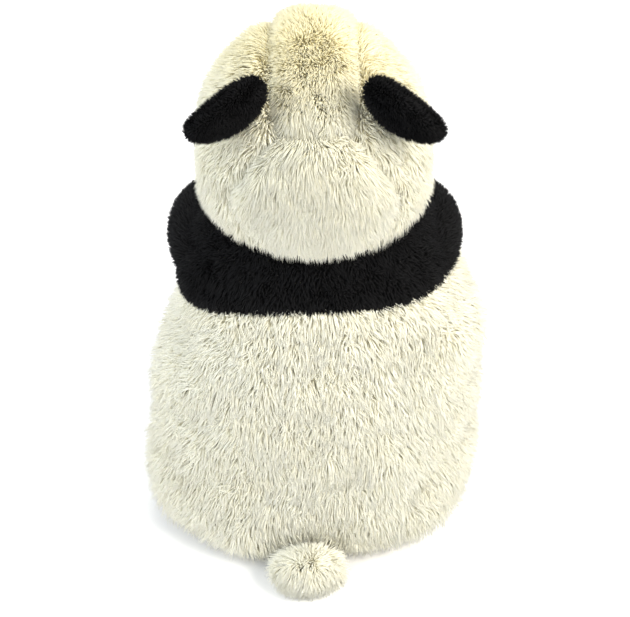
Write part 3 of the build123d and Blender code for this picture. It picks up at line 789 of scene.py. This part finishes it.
make_head_panel("crown_cover", ("crown_gusset",), (crease, brow), seam_at, minus_seam, 60, 30,
                13500, CROWN_PILE)
make_head_panel("nape_cover", ("nape_panel",), (nape_end, crease), seam_at, minus_seam, 40, 44,
                12000, NAPE_PILE)
whole, chin = (radians(-180), radians(180)), (radians(-208), nape_end)
for side, inner, outer in (
    ("left", steady(0.9995), seam_at), ("right", minus_seam, steady(-0.9995)),
):
    make_head_panel(f"cheek_{side}_cover", (f"head_side_{side}",), whole, inner, outer, 104, 36,
                    16000, CROWN_PILE, ends_sewn=False)
for side, inner, outer in (("left", seam_at, steady(0.0)), ("right", steady(0.0), minus_seam)):
    make_head_panel(f"chin_{side}_cover", (), chin, inner, outer, 70, 10, 3500, CHIN_PILE,
                    ends_sewn=False)

# --- Ears -------------------------------------------------------------------------
# Each ear is a cupped oval of short black pile, a front and a back panel round a thin fill,
# folded back a little and sewn into the seam beside the crown strip.

EAR_HALF = (0.027, 0.0205, 0.0085)      # half its width, height and thickness
EAR_ROOT = 0.005               # of its height is below the seam
EAR_CUP = 5.5                  # how much the ear is cupped, per metre of its width


def merge(mesh, distance):
    """Join the doubled points of a mesh."""
    joined = bmesh.new()
    joined.from_mesh(mesh)
    bmesh.ops.remove_doubles(joined, verts=joined.verts, dist=distance)
    joined.to_mesh(mesh)
    joined.free()


def closed_skin(name, points, outward, comb, pile, wrapped=True):
    """A skin from a grid whose end rows close at a pole, facing outwards."""
    skin = grid_object(name, points, comb, pile, wrapped)
    merge(skin.data, 0.00002)
    rows = points.shape[0]
    a, b, c = points[rows // 2, 0], points[rows // 2, 1], points[rows // 2 + 1, 0]
    if np.dot(np.cross(b - a, c - a), outward[rows // 2, 0]) < 0:
        skin.data.flip_normals()
    return skin


for side, sign in (("left", 1), ("right", -1)):
    hinge = joints[f"ear_{side}_flex"]
    root = np.array(hinge["pos_m"])
    up = unit(root - HEAD)
    along = np.array(hinge["axis"]) * sign
    behind = np.cross(up, along) * sign
    width, height, thickness = EAR_HALF
    middle = root + up * (height - EAR_ROOT)
    for face, first in (("back", 0.0), ("front", pi)):
        turns, rises = np.linspace(first, first + pi, 40), np.linspace(-pi / 2, pi / 2, 26)
        turn, rise = np.meshgrid(turns, rises)
        a, b, c = np.cos(rise) * np.cos(turn), np.cos(rise) * np.sin(turn), np.sin(rise)
        rim = np.exp(-((b * thickness / 0.0022) ** 2))
        thick = (thickness - BLACK_ROOM) * (0.8 + 0.2 * c) * b
        bend = EAR_CUP * (a * width) ** 2 - 0.0015
        points = (middle + (a * (width - BLACK_ROOM))[..., None] * along
                  + (thick + bend)[..., None] * behind
                  + (c * (height - BLACK_ROOM))[..., None] * up)
        outward = unit((a / width)[..., None] * along + (b / thickness)[..., None] * behind
                       + (c / height)[..., None] * up)
        points = points - outward * (0.0008 * rim)[..., None]
        comb = along_surface(np.broadcast_to(up, points.shape) - 0.3 * outward, outward)
        name = f"ear_{side}_{face}"
        skin = closed_skin(f"{name}_cover", points, outward, comb, 1 - 0.15 * rim, False)
        pile = grow_pile(f"{name}_pile", skin, BLACK_PILE, 2700, 0.0040, 0.0014, 0.5, 0.5, 0.5)
        dress(skin, (pile,), BLACK_CLOTH, f"ear_{side}", "black_plush", name)

# --- Arms -------------------------------------------------------------------------
# Stuffed tubes of short black pile, an outer and an inner panel, sewn to the shoulder band
# at their round tops and bent forwards to rest on the belly.


def rounded_path(first, bow, last, count):
    """A smooth line through the middle of a limb, bent at its bow."""
    share = np.linspace(0, 1, count)[:, None]
    control = 2 * bow - 0.5 * (first + last)
    control = bow + 0.72 * (control - bow)
    return (1 - share) ** 2 * first + 2 * share * (1 - share) * control + share**2 * last


def limb_rings(path, radii, start_radius, end_radius, cap=9):
    """Centres, radii and frames of the rings of a limb with round ends."""
    run = unit(np.gradient(path, axis=0))
    centres, sizes, runs = list(path), list(radii), list(run)
    for quarter in np.linspace(0, pi / 2, cap)[1:]:
        size = max(cos(quarter), 0.0)
        centres.insert(0, path[0] - run[0] * start_radius * sin(quarter))
        sizes.insert(0, start_radius * size)
        runs.insert(0, run[0])
        centres.append(path[-1] + run[-1] * end_radius * sin(quarter))
        sizes.append(end_radius * size)
        runs.append(run[-1])
    return np.array(centres), np.array(sizes), np.array(runs)


def limb_surface(centres, sizes, runs, angles, side_dir):
    """Points and outward directions of a limb round its rings, 0 towards side_dir."""
    side = unit(side_dir - runs * (runs @ side_dir)[:, None])
    other = np.cross(runs, side)
    spoke = (np.cos(angles)[None, :, None] * side[:, None]
             + np.sin(angles)[None, :, None] * other[:, None])
    points = centres[:, None] + spoke * sizes[:, None, None]
    steps = np.linalg.norm(np.gradient(centres, axis=0), axis=1)
    slope = np.clip(np.gradient(sizes) / np.maximum(steps, 1e-6), -6, 6)
    return points, unit(spoke - slope[:, None, None] * runs[:, None])


ARM_RADIUS, SHOULDER_RADIUS = 0.021, 0.0215
ARM_TUCK = 0.0035              # the round tops are drawn in by their seams
ELBOW_OUT, ELBOW_DROP = 0.004, 0.009
for side, sign in (("left", 1), ("right", -1)):
    shoulder = np.array(joints[f"arm_{side}_raise"]["pos_m"]) - np.array((sign * ARM_TUCK, 0, 0))
    inner_low, inner_high = corners(f"arm_{side}_inner")
    paw = inner_low + ARM_RADIUS
    if sign < 0:
        paw[0] = inner_high[0] - ARM_RADIUS
    elbow = shoulder + np.array((sign * ELBOW_OUT, (paw[1] - shoulder[1]) / 2, -ELBOW_DROP))
    path = rounded_path(shoulder, elbow, paw, 40)
    widths = np.array((SHOULDER_RADIUS, ARM_RADIUS - 0.0005, ARM_RADIUS, ARM_RADIUS)) - BLACK_ROOM
    radii = np.interp(np.linspace(0, 1, 40), (0, 0.35, 0.8, 1), widths)
    rings = limb_rings(path, radii, radii[0], radii[-1])
    for panel, first in (("outer", -pi / 2), ("inner", pi / 2)):
        angles = np.linspace(first, first + pi, 34)
        points, outward = limb_surface(*rings, angles, np.array((sign * 1.0, 0.0, 0.0)))
        edge = np.minimum(angles - first, first + pi - angles) * ARM_RADIUS
        dip = np.broadcast_to(np.exp(-((edge / 0.003) ** 2)), points.shape[:2])
        size = np.clip(rings[1] / ARM_RADIUS, 0, 1)[:, None]
        points = points - outward * (0.0012 * dip * size)[..., None]
        comb = along_surface(np.broadcast_to(rings[2][:, None], points.shape), outward)
        name = f"arm_{side}_{panel}"
        skin = closed_skin(f"{name}_cover", points, outward, comb, 1 - 0.15 * dip, False)
        pile = grow_pile(f"{name}_pile", skin, BLACK_PILE, 5200, 0.0042, 0.0016, 0.5, 0.5, 0.7)
        dress(skin, (pile,), BLACK_CLOTH, f"arm_{side}", "black_plush", name)

# --- Legs -------------------------------------------------------------------------
# Thicker tubes of the same black pile that lie on the table and point forwards, each closed
# with a round flat sole of velour.

HIP_RADIUS, THIGH_RADIUS, ANKLE_RADIUS, FOOT_RADIUS = 0.027, 0.026, 0.0275, 0.0315
FOOT_LENGTH = 0.0225           # of the leg before its sole is the round foot
LEG_LEVEL = 0.0022             # the cloth under a leg is this far above the table
SOLE_CROWN = 0.0030
DOWN = np.array((0.0, 0.0, -1.0))
VELOUR = cloth_finish("black_velour", (0.0085, 0.008, 0.008), (0.004, 0.004, 0.004), 0.85)


def leg_radius(place, reach):
    """The leg's radius at a place along it, from its round hip to its foot."""
    ball = np.sqrt(np.maximum(HIP_RADIUS**2 - np.minimum(place, 0) ** 2, 0))
    shaft = np.interp(place, (0, reach * 0.45, reach * 0.75, reach),
                      (HIP_RADIUS, THIGH_RADIUS, ANKLE_RADIUS, FOOT_RADIUS))
    foot = np.sqrt(np.maximum(FOOT_RADIUS**2 - np.maximum(place - reach, 0) ** 2, 0))
    return np.where(place < 0, ball, np.where(place > reach, foot, shaft))


for side in ("left", "right"):
    hip = np.array(joints[f"leg_{side}_lift"]["pos_m"])
    sole_low, sole_high = corners(f"leg_{side}_sole")
    to_sole = (sole_low + sole_high) / 2 - hip
    length = np.linalg.norm(to_sole)
    to_sole /= length
    stations = np.concatenate((
        -HIP_RADIUS * np.cos(np.linspace(0, pi / 2, 12)), np.linspace(0.003, length - 0.002, 34),
    ))
    tuck = BLACK_ROOM * np.clip((stations + HIP_RADIUS) / 0.01, 0, 1)
    sizes = np.maximum(leg_radius(stations, length - FOOT_LENGTH) - tuck, 0)
    kernel = np.array((0.25, 0.5, 0.25))
    for _ in range(3):
        sizes[1:-1] = np.convolve(sizes, kernel, "valid")
    centres = hip + stations[:, None] * to_sole
    runs = np.broadcast_to(to_sole, centres.shape)
    angles = around(56)
    points, outward = limb_surface(centres, sizes, runs, angles, DOWN)
    points[..., 2] = np.maximum(points[..., 2], LEG_LEVEL)
    comb = along_surface(np.broadcast_to(to_sole, points.shape), outward)
    full = np.ones(points.shape[:2])
    skin = closed_skin(f"leg_{side}_cover_cloth", points, outward, comb, full)
    pile = grow_pile(f"leg_{side}_pile", skin, BLACK_PILE, 7200, 0.0042, 0.0017, 0.5, 0.5, 0.7)
    dress(skin, (pile,), BLACK_CLOTH, f"leg_{side}", "black_plush", f"leg_{side}_cover")

    share = np.linspace(1, 0, 16)
    crown = SOLE_CROWN * (1 - share**2) ** 0.5
    sole_sizes = share * (sizes[-1] + 0.0004)
    sole_rings = (hip + (stations[-1] + crown)[:, None] * to_sole, sole_sizes,
                  np.broadcast_to(to_sole, (16, 3)))
    points, _ = limb_surface(*sole_rings, angles, DOWN)
    outward = np.broadcast_to(to_sole, points.shape)
    sole = closed_skin(f"leg_{side}_sole_cloth", points, outward,
                       np.broadcast_to(DOWN, points.shape), np.ones(points.shape[:2]))
    dress(sole, (), VELOUR, f"leg_{side}", "black_velour", f"leg_{side}_sole")

# --- Tail -------------------------------------------------------------------------
# A small flattened pompon of the cream pile, sewn on low at the back. Its fibre spreads out
# from the seam like a fan.

TAIL_SET = 0.004               # sewn on a little to the left
TAIL_ROOM = 0.0045
tail_low, tail_high = corners("tail_cover")
tail_middle, tail_half = (tail_low + tail_high) / 2, (tail_high - tail_low) / 2
turn, rise = np.meshgrid(around(48), np.linspace(-pi / 2, pi / 2, 24))
flat = np.cos(rise)
outward = np.stack((flat * np.cos(turn), np.sin(rise), flat * np.sin(turn)), axis=-1)
points = tail_middle + np.array((TAIL_SET, 0, 0)) + outward * (tail_half - TAIL_ROOM)
outward = unit(outward / (tail_half - TAIL_ROOM))
fan = points - (tail_middle - np.array((0, tail_half[1] * 1.3, 0)))
comb = along_surface(fan + np.array((0, 0, -0.004)), outward)
tail_skin = closed_skin("tail_cover_cloth", points, outward, comb, np.ones(points.shape[:2]))
tail_pile = grow_pile("tail_pile", tail_skin, CREAM_PILE, 5500, 0.0095, 0.0017, 0.6, 0.5)
dress(tail_skin, (tail_pile,), CREAM_CLOTH, "tail", "cream_plush", "tail_cover")

# --- Muzzle -----------------------------------------------------------------------
# A low dome of shorter, paler pile, gathered round its fill and sewn to the front of the head.

muzzle_low, muzzle_high = corners("muzzle_cover")
muzzle_radius = (muzzle_high[0] - muzzle_low[0]) / 2
muzzle_middle = np.array((0, muzzle_low[1] + muzzle_radius, (muzzle_low[2] + muzzle_high[2]) / 2))
MUZZLE_ROOM = 0.0035
MUZZLE_SHAPE = np.array((1, 1, 0.86))       # it is lower than it is wide
MUZZLE_DROP = np.array((0, 0, -0.001))
# Muzzle pile: its first colour is painted shade at the roots of the locks, lightening towards the
# tips.
MUZZLE_PILE = pile_finish(
    "muzzle_pile", (0.66, 0.61, 0.48), (0.88, 0.865, 0.78), (0.97, 0.965, 0.92),
    (0.97, 0.94, 0.84), 0.15, 0.85,
)


def front_dome(turn, spread):
    """Directions on a dome: spread is the angle from its front, turn goes round it."""
    return np.stack((np.sin(spread) * np.cos(turn), -np.cos(spread),
                     np.sin(spread) * np.sin(turn)), axis=-1)


turn, spread = np.meshgrid(around(64), np.linspace(0, radians(118), 34))
outward = front_dome(turn, spread)
points = muzzle_middle + MUZZLE_DROP + outward * (muzzle_radius * MUZZLE_SHAPE - MUZZLE_ROOM)
cleft = np.exp(-((points[..., 0] / 0.004) ** 2)) * np.clip(-outward[..., 2] * 2 + 0.4, 0, 1)
points = points + (0.0016 * cleft * np.cos(spread))[..., None] * np.array((0, 1, 0))
outward = unit(outward)
nose_low, nose_high = corners("nose")
nose_middle = (nose_low + nose_high) / 2
from_nose = np.linalg.norm((points - nose_middle) / np.array((0.0125, 0.02, 0.0095)), axis=-1)
comb = along_surface(points - nose_middle, outward)
short = np.clip((from_nose - 0.8) * 3, 0.15, 1)
line = np.exp(-((points[..., 0] / 0.003) ** 2)) * (points[..., 2] < nose_low[2])
muzzle_skin = closed_skin("muzzle_cloth", points, outward, comb, short * (1 - 0.6 * line))
muzzle_pile = grow_pile("muzzle_pile", muzzle_skin, MUZZLE_PILE, 5500, 0.0050, 0.0013, 0.7,
                        0.4, 0.4)
dress(muzzle_skin, (muzzle_pile,), CREAM_CLOTH, "head", "muzzle_plush", "muzzle_cover")

# --- Nose -------------------------------------------------------------------------
# A rounded triangle of black velour over a scrap of fill, sewn high on the muzzle.

nose_half = (nose_high - nose_low) / 2
turn, spread = np.meshgrid(around(48), np.linspace(0, radians(125), 20))
outward = front_dome(turn, spread)
lower = np.clip(-outward[..., 2], 0, 1)
taper = 1 - 0.30 * lower
points = np.stack((
    nose_middle[0] + outward[..., 0] * nose_half[0] * taper,
    nose_middle[1] + 0.001 + outward[..., 1] * nose_half[1] * 0.95,
    nose_middle[2] + outward[..., 2] * nose_half[2] * (1.0 + 0.1 * lower),
), axis=-1)
nose_skin = closed_skin("nose_velour", points, outward, outward, np.ones(points.shape[:2]))
dress(nose_skin, (), VELOUR, "head", "black_velour", "nose", thickness=0.0008)

# --- Mouth ------------------------------------------------------------------------
# Embroidered in black thread: a short line down from the nose and a curve to each side,
# made of slanting satin stitches side by side.

THREAD, thread_nodes, thread_links, thread_shader = new_finish("black_thread", 0.45, 0.5)
thread_coords = thread_nodes.new("ShaderNodeTexCoord")
thread_twist = thread_nodes.new("ShaderNodeTexWave")
thread_twist.inputs["Scale"].default_value = 700
thread_twist.inputs["Distortion"].default_value = 2
thread_ramp = colour_ramp(thread_nodes, (0.006, 0.006, 0.006), (0.03, 0.03, 0.032))
thread_bump = thread_nodes.new("ShaderNodeBump")
thread_bump.inputs["Distance"].default_value = 0.0003
thread_links.new(thread_coords.outputs["Object"], thread_twist.inputs["Vector"])
thread_links.new(thread_twist.outputs["Fac"], thread_ramp.inputs["Fac"])
thread_links.new(thread_ramp.outputs["Color"], thread_shader.inputs["Base Color"])
thread_links.new(thread_twist.outputs["Fac"], thread_bump.inputs["Height"])
thread_links.new(thread_bump.outputs["Normal"], thread_shader.inputs["Normal"])


def stitch_tree():
    """Short slanting stitches laid side by side along the edges of a guide line."""
    tree, given, out = new_tree("stitches", ("Pitch", "Float"), ("Thread", "Float"),
                                ("Width", "Float"), ("Finish", "Material"))
    add, link = tree.nodes.new, tree.links.new
    curve = add("GeometryNodeMeshToCurve")
    spaced = add("GeometryNodeCurveToPoints")
    spaced.mode = "LENGTH"
    thread = add("GeometryNodeMeshUVSphere")
    thread.inputs["Segments"].default_value = 6
    thread.inputs["Rings"].default_value = 5
    thread.inputs["Radius"].default_value = 0.5
    placed = add("GeometryNodeInstanceOnPoints")
    size = add("ShaderNodeCombineXYZ")
    real, painted = add("GeometryNodeRealizeInstances"), add("GeometryNodeSetMaterial")
    link(given.outputs["Geometry"], curve.inputs["Mesh"])
    link(curve.outputs["Curve"], spaced.inputs["Curve"])
    link(given.outputs["Pitch"], spaced.inputs["Length"])
    link(spaced.outputs["Points"], placed.inputs["Points"])
    link(spaced.outputs["Rotation"], placed.inputs["Rotation"])
    link(thread.outputs["Mesh"], placed.inputs["Instance"])
    link(given.outputs["Thread"], size.inputs["X"])
    link(given.outputs["Width"], size.inputs["Y"])
    link(given.outputs["Thread"], size.inputs["Z"])
    link(size.outputs[0], placed.inputs["Scale"])
    link(placed.outputs["Instances"], real.inputs["Geometry"])
    link(real.outputs["Geometry"], painted.inputs["Geometry"])
    link(given.outputs["Finish"], painted.inputs["Material"])
    link(painted.outputs["Geometry"], out.inputs[0])
    return tree


STITCHES = stitch_tree()


def sew(name, lines, pitch, thread, width):
    """Stitches along guide lines, as one plain mesh."""
    mesh = bpy.data.meshes.new(name)
    corners, edges = [], []
    for line in lines:
        start = len(corners)
        corners += [tuple(point) for point in line]
        edges += [(start + i, start + i + 1) for i in range(len(line) - 1)]
    mesh.from_pydata(corners, edges, [])
    guide = new_object(name + "_guide", mesh)
    values = {"Pitch": pitch, "Thread": thread, "Width": width, "Finish": THREAD}
    sewn = run_tree(guide, STITCHES, values)
    sewn.name = name
    bpy.data.objects.remove(guide)
    stitches = new_object(name, sewn)
    for polygon in sewn.polygons:
        polygon.use_smooth = True
    return stitches


mouth_low, mouth_high = corners("mouth_stitch")
LIP = (mouth_high[0] - mouth_low[0]) / 4
THREAD_LIFT = 0.0030           # the thread lies this far out from the muzzle's cloth


def on_muzzle(x, z):
    """The point of the muzzle's pile straight in front of x, z."""
    half = muzzle_radius * MUZZLE_SHAPE - MUZZLE_ROOM + THREAD_LIFT
    level = muzzle_middle[2] + MUZZLE_DROP[2]
    depth = np.sqrt(max(1 - (x / half[0]) ** 2 - ((z - level) / half[2]) ** 2, 0))
    return np.array((x, muzzle_middle[1] - half[1] * depth, z))


mouth_top = nose_low[2] + 0.001
lip_top = mouth_low[2] + LIP * 0.95
mouth_lines = [[on_muzzle(0, z) for z in np.linspace(mouth_top, lip_top - 0.001, 12)]]
for sign in (1, -1):
    mouth_lines.append([
        on_muzzle(sign * LIP * (1 - cos(t)), lip_top - LIP * 0.9 * sin(t))
        for t in np.linspace(0.05, 2.6, 22)
    ])
mouth = sew("mouth_thread", mouth_lines, 0.00055, 0.0009, 0.0027)
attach(mouth, "head")
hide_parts("mouth_stitch")

# --- Eye patches and eyes ---------------------------------------------------------
# Slanted ovals of short black pile sewn over the head, each with a domed safety eye whose
# shank is locked inside the head by a washer.

EYE_GLOSS, eye_nodes, eye_links, eye_shader = new_finish("eye_plastic", 0.12, 0.3)
eye_coords = eye_nodes.new("ShaderNodeTexCoord")
eye_cloud = eye_nodes.new("ShaderNodeTexNoise")
eye_cloud.inputs["Scale"].default_value = 220
eye_ramp = colour_ramp(eye_nodes, (0.006, 0.004, 0.003), (0.030, 0.014, 0.007))
eye_links.new(eye_coords.outputs["Object"], eye_cloud.inputs["Vector"])
eye_links.new(eye_cloud.outputs["Fac"], eye_ramp.inputs["Fac"])
eye_links.new(eye_ramp.outputs["Color"], eye_shader.inputs["Base Color"])

EYE_DROP = 0.0045              # the pile draws the patches down a little
EYE_SEAT = 0.0015              # how far the eye's rim is pulled in below the patch
PATCH_HALF = (0.0125, 0.0180)
EYE_RADIUS, EYE_RISE = 0.0065, 0.0046
SHANK_RADIUS, SHANK_LENGTH = 0.0020, 0.0130
UP = np.array((0.0, 0.0, 1.0))
# Half the eye's outline, as radius and place along its axis: its shank and its rim.
eye_outline = [(0, -SHANK_LENGTH), (SHANK_RADIUS, -SHANK_LENGTH), (SHANK_RADIUS, -0.0015),
               (0.0060, -0.0010), (EYE_RADIUS, 0.0)]
eye_outline += [(EYE_RADIUS * cos(t), EYE_RISE * sin(t))
                for t in np.linspace(0, pi / 2 - 0.02, 16)[1:]]
for side, sign in (("left", 1), ("right", -1)):
    patch_low, patch_high = corners(f"eye_patch_{side}")
    patch_out = unit((patch_low + patch_high) / 2 - HEAD + np.array((0, 0, -EYE_DROP)))
    level = unit(np.cross(UP, patch_out))
    upright = np.cross(patch_out, level)
    slant = sign * radians(24)
    turn, share = np.meshgrid(around(56), np.linspace(0, 1, 16))
    u, v = PATCH_HALF[0] * share * np.cos(turn), PATCH_HALF[1] * share * np.sin(turn)
    across = u * cos(slant) - v * sin(slant)
    rising = u * sin(slant) + v * cos(slant)
    outward = unit(patch_out + (across / HEAD_RADIUS)[..., None] * level
                   + (rising / HEAD_RADIUS)[..., None] * upright)
    lift = HEAD_RADIUS - 0.0022 - 0.0022 * share**6
    points = HEAD + outward * lift[..., None]
    comb = along_surface(points - points[:1], outward + 1e-6)
    rim = share**4
    skin = closed_skin(f"eye_patch_{side}_cloth", points, outward, comb, 1 - 0.2 * rim)
    pile = grow_pile(f"eye_patch_{side}_pile", skin, BLACK_PILE, 2100, 0.0036, 0.0012, 0.6, 0.4,
                     0.3)
    dress(skin, (pile,), BLACK_CLOTH, "head", "black_plush", f"eye_patch_{side}")

    eye_low, eye_high = corners(f"eye_{side}")
    eye_axis = unit((eye_low + eye_high) / 2 - HEAD + np.array((0, 0, -EYE_DROP)))
    eye_side = unit(np.cross(UP, eye_axis))
    sizes, places = np.array(eye_outline).T
    sizes[-1] = 0
    centres = HEAD + (HEAD_RADIUS - EYE_SEAT + places)[:, None] * eye_axis
    runs = np.broadcast_to(eye_axis, centres.shape)
    points, _ = limb_surface(centres, sizes, runs, around(40), eye_side)
    _, outward = limb_surface(centres, np.ones(len(sizes)), runs, around(40), eye_side)
    eye = closed_skin(f"eye_{side}_dome", points, outward, outward, np.ones(points.shape[:2]))
    eye.data.materials.append(EYE_GLOSS)
    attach(eye, "head")
    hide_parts(f"eye_{side}")

# --- Fibre fill -------------------------------------------------------------------
# Loose polyester fibre, packed by hand, so that each fill is a little lumpy. It shows only
# where a cover is opened, and sits just inside the covers.

FIBRE = cloth_finish("fibre_fill", (0.90, 0.90, 0.88), (0.80, 0.80, 0.78))
FILL_LUMPS = 0.0008
SAME_POINT = 0.00005


def fill_from(name, node, body, room, top=1.0, shape=None):
    """A lumpy fill a little smaller than the space its cover leaves."""
    mesh = frame["nodes"][node].data.copy()
    merge(mesh, SAME_POINT)
    piece = new_object(name, mesh)
    even = piece.modifiers.new("even", "REMESH")
    even.mode, even.voxel_size = "VOXEL", 0.004
    piece.data = settled(piece)
    piece.modifiers.clear()
    places, normals = places_of(piece.data).astype(float), places_of(piece.data, "normal")
    lumps = uneven(places, 320, (((1, 0.3, 0.2), 0.0), ((-0.2, 1, 0.4), 1.7),
                                 ((0.3, -0.4, 1), 3.1)))
    places = places - normals * (room + FILL_LUMPS * lumps)[:, None]
    places[:, 2] = np.minimum(places[:, 2], top)
    if shape:
        places = shape(places, normals)
    move_to(piece.data, places)
    piece.data.polygons.foreach_set("use_smooth", [True] * len(piece.data.polygons))
    piece.data.update()
    piece.data.materials.clear()
    piece.data.materials.append(FIBRE)
    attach(piece, body)
    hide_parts(node)


def pressed_head(places, normals):
    """The head's fill takes the squeezed shape of its cover."""
    return squeezed(places, unit(places - HEAD))


def pressed_muzzle(places, normals):
    """The muzzle's fill is as low as its cover."""
    return muzzle_middle + (places - muzzle_middle) * np.array((1, 1, 0.80))


fill_from("body_fill", "body_stuffing", "body", 0.0125, top=band_low[2] - 0.002, shape=slack)
fill_from("head_fill", "head_stuffing", "head", 0.0072, shape=pressed_head)
fill_from("muzzle_fill", "muzzle_stuffing", "head", 0.0042, shape=pressed_muzzle)
fill_from("tail_fill", "tail_stuffing", "tail", 0.0035)
for side in ("left", "right"):
    fill_from(f"arm_{side}_fill", f"arm_{side}_stuffing", f"arm_{side}", 0.0080)
    fill_from(f"leg_{side}_fill", f"leg_{side}_stuffing", f"leg_{side}", 0.0035)
    fill_from(f"ear_{side}_fill", f"ear_{side}_stuffing", f"ear_{side}", 0.0040)

# --- Seam rings, washers and bean pouch -------------------------------------------
# The doubled cloth that the head and limbs are sewn on by, the plastic washers behind the
# eyes, and the cotton pouch of beans in the seat. They are inside the toy.

SEAM_TAPE = cloth_finish("seam_tape", (0.045, 0.045, 0.05), (0.02, 0.02, 0.022), 0.85)
POUCH_COTTON = cloth_finish("pouch_cotton", (0.82, 0.79, 0.72), (0.74, 0.71, 0.63), 0.85)
BEANS = cloth_finish("bean_fill", (0.82, 0.82, 0.80), (0.66, 0.66, 0.64), 0.5)
WASHER = cloth_finish("washer_plastic", (0.76, 0.76, 0.74), (0.70, 0.70, 0.68), 0.4)
inside = {
    "neck_seam": SEAM_TAPE, "pellet_pouch": POUCH_COTTON, "pellet_fill": BEANS,
    "eye_washer_left": WASHER, "eye_washer_right": WASHER,
}
for node, finish in inside.items():
    mesh = frame["nodes"][node].data
    mesh.materials.clear()
    mesh.materials.append(finish)

SEAM_ROOM = 0.0095             # the rings lie at least this far inside the body's outline
for limb in ("arm_left", "arm_right", "leg_left", "leg_right"):
    node = f"{limb}_seam"
    mesh = frame["nodes"][node].data.copy()
    merge(mesh, SAME_POINT)
    places = places_of(mesh).astype(float)
    share = np.clip(places[:, 2] / SHOULDER_TOP, 0, 1)
    middle_y = lean_at(share)
    wide = HALF_WIDTH * width_at(share) - SEAM_ROOM
    deep = HALF_DEPTH * depth_at(share) - SEAM_ROOM
    out = (np.abs(places[:, 0] / wide) ** SQUARENESS
           + np.abs((places[:, 1] - middle_y) / deep) ** SQUARENESS) ** (1 / SQUARENESS)
    pull = 1 / np.maximum(out, 1)
    places[:, 0] *= pull
    places[:, 1] = middle_y + (places[:, 1] - middle_y) * pull
    move_to(mesh, places)
    mesh.materials.clear()
    mesh.materials.append(SEAM_TAPE)
    ring = new_object(f"{limb}_seam_tape", mesh)
    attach(ring, f"{limb}_root")
    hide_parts(node)
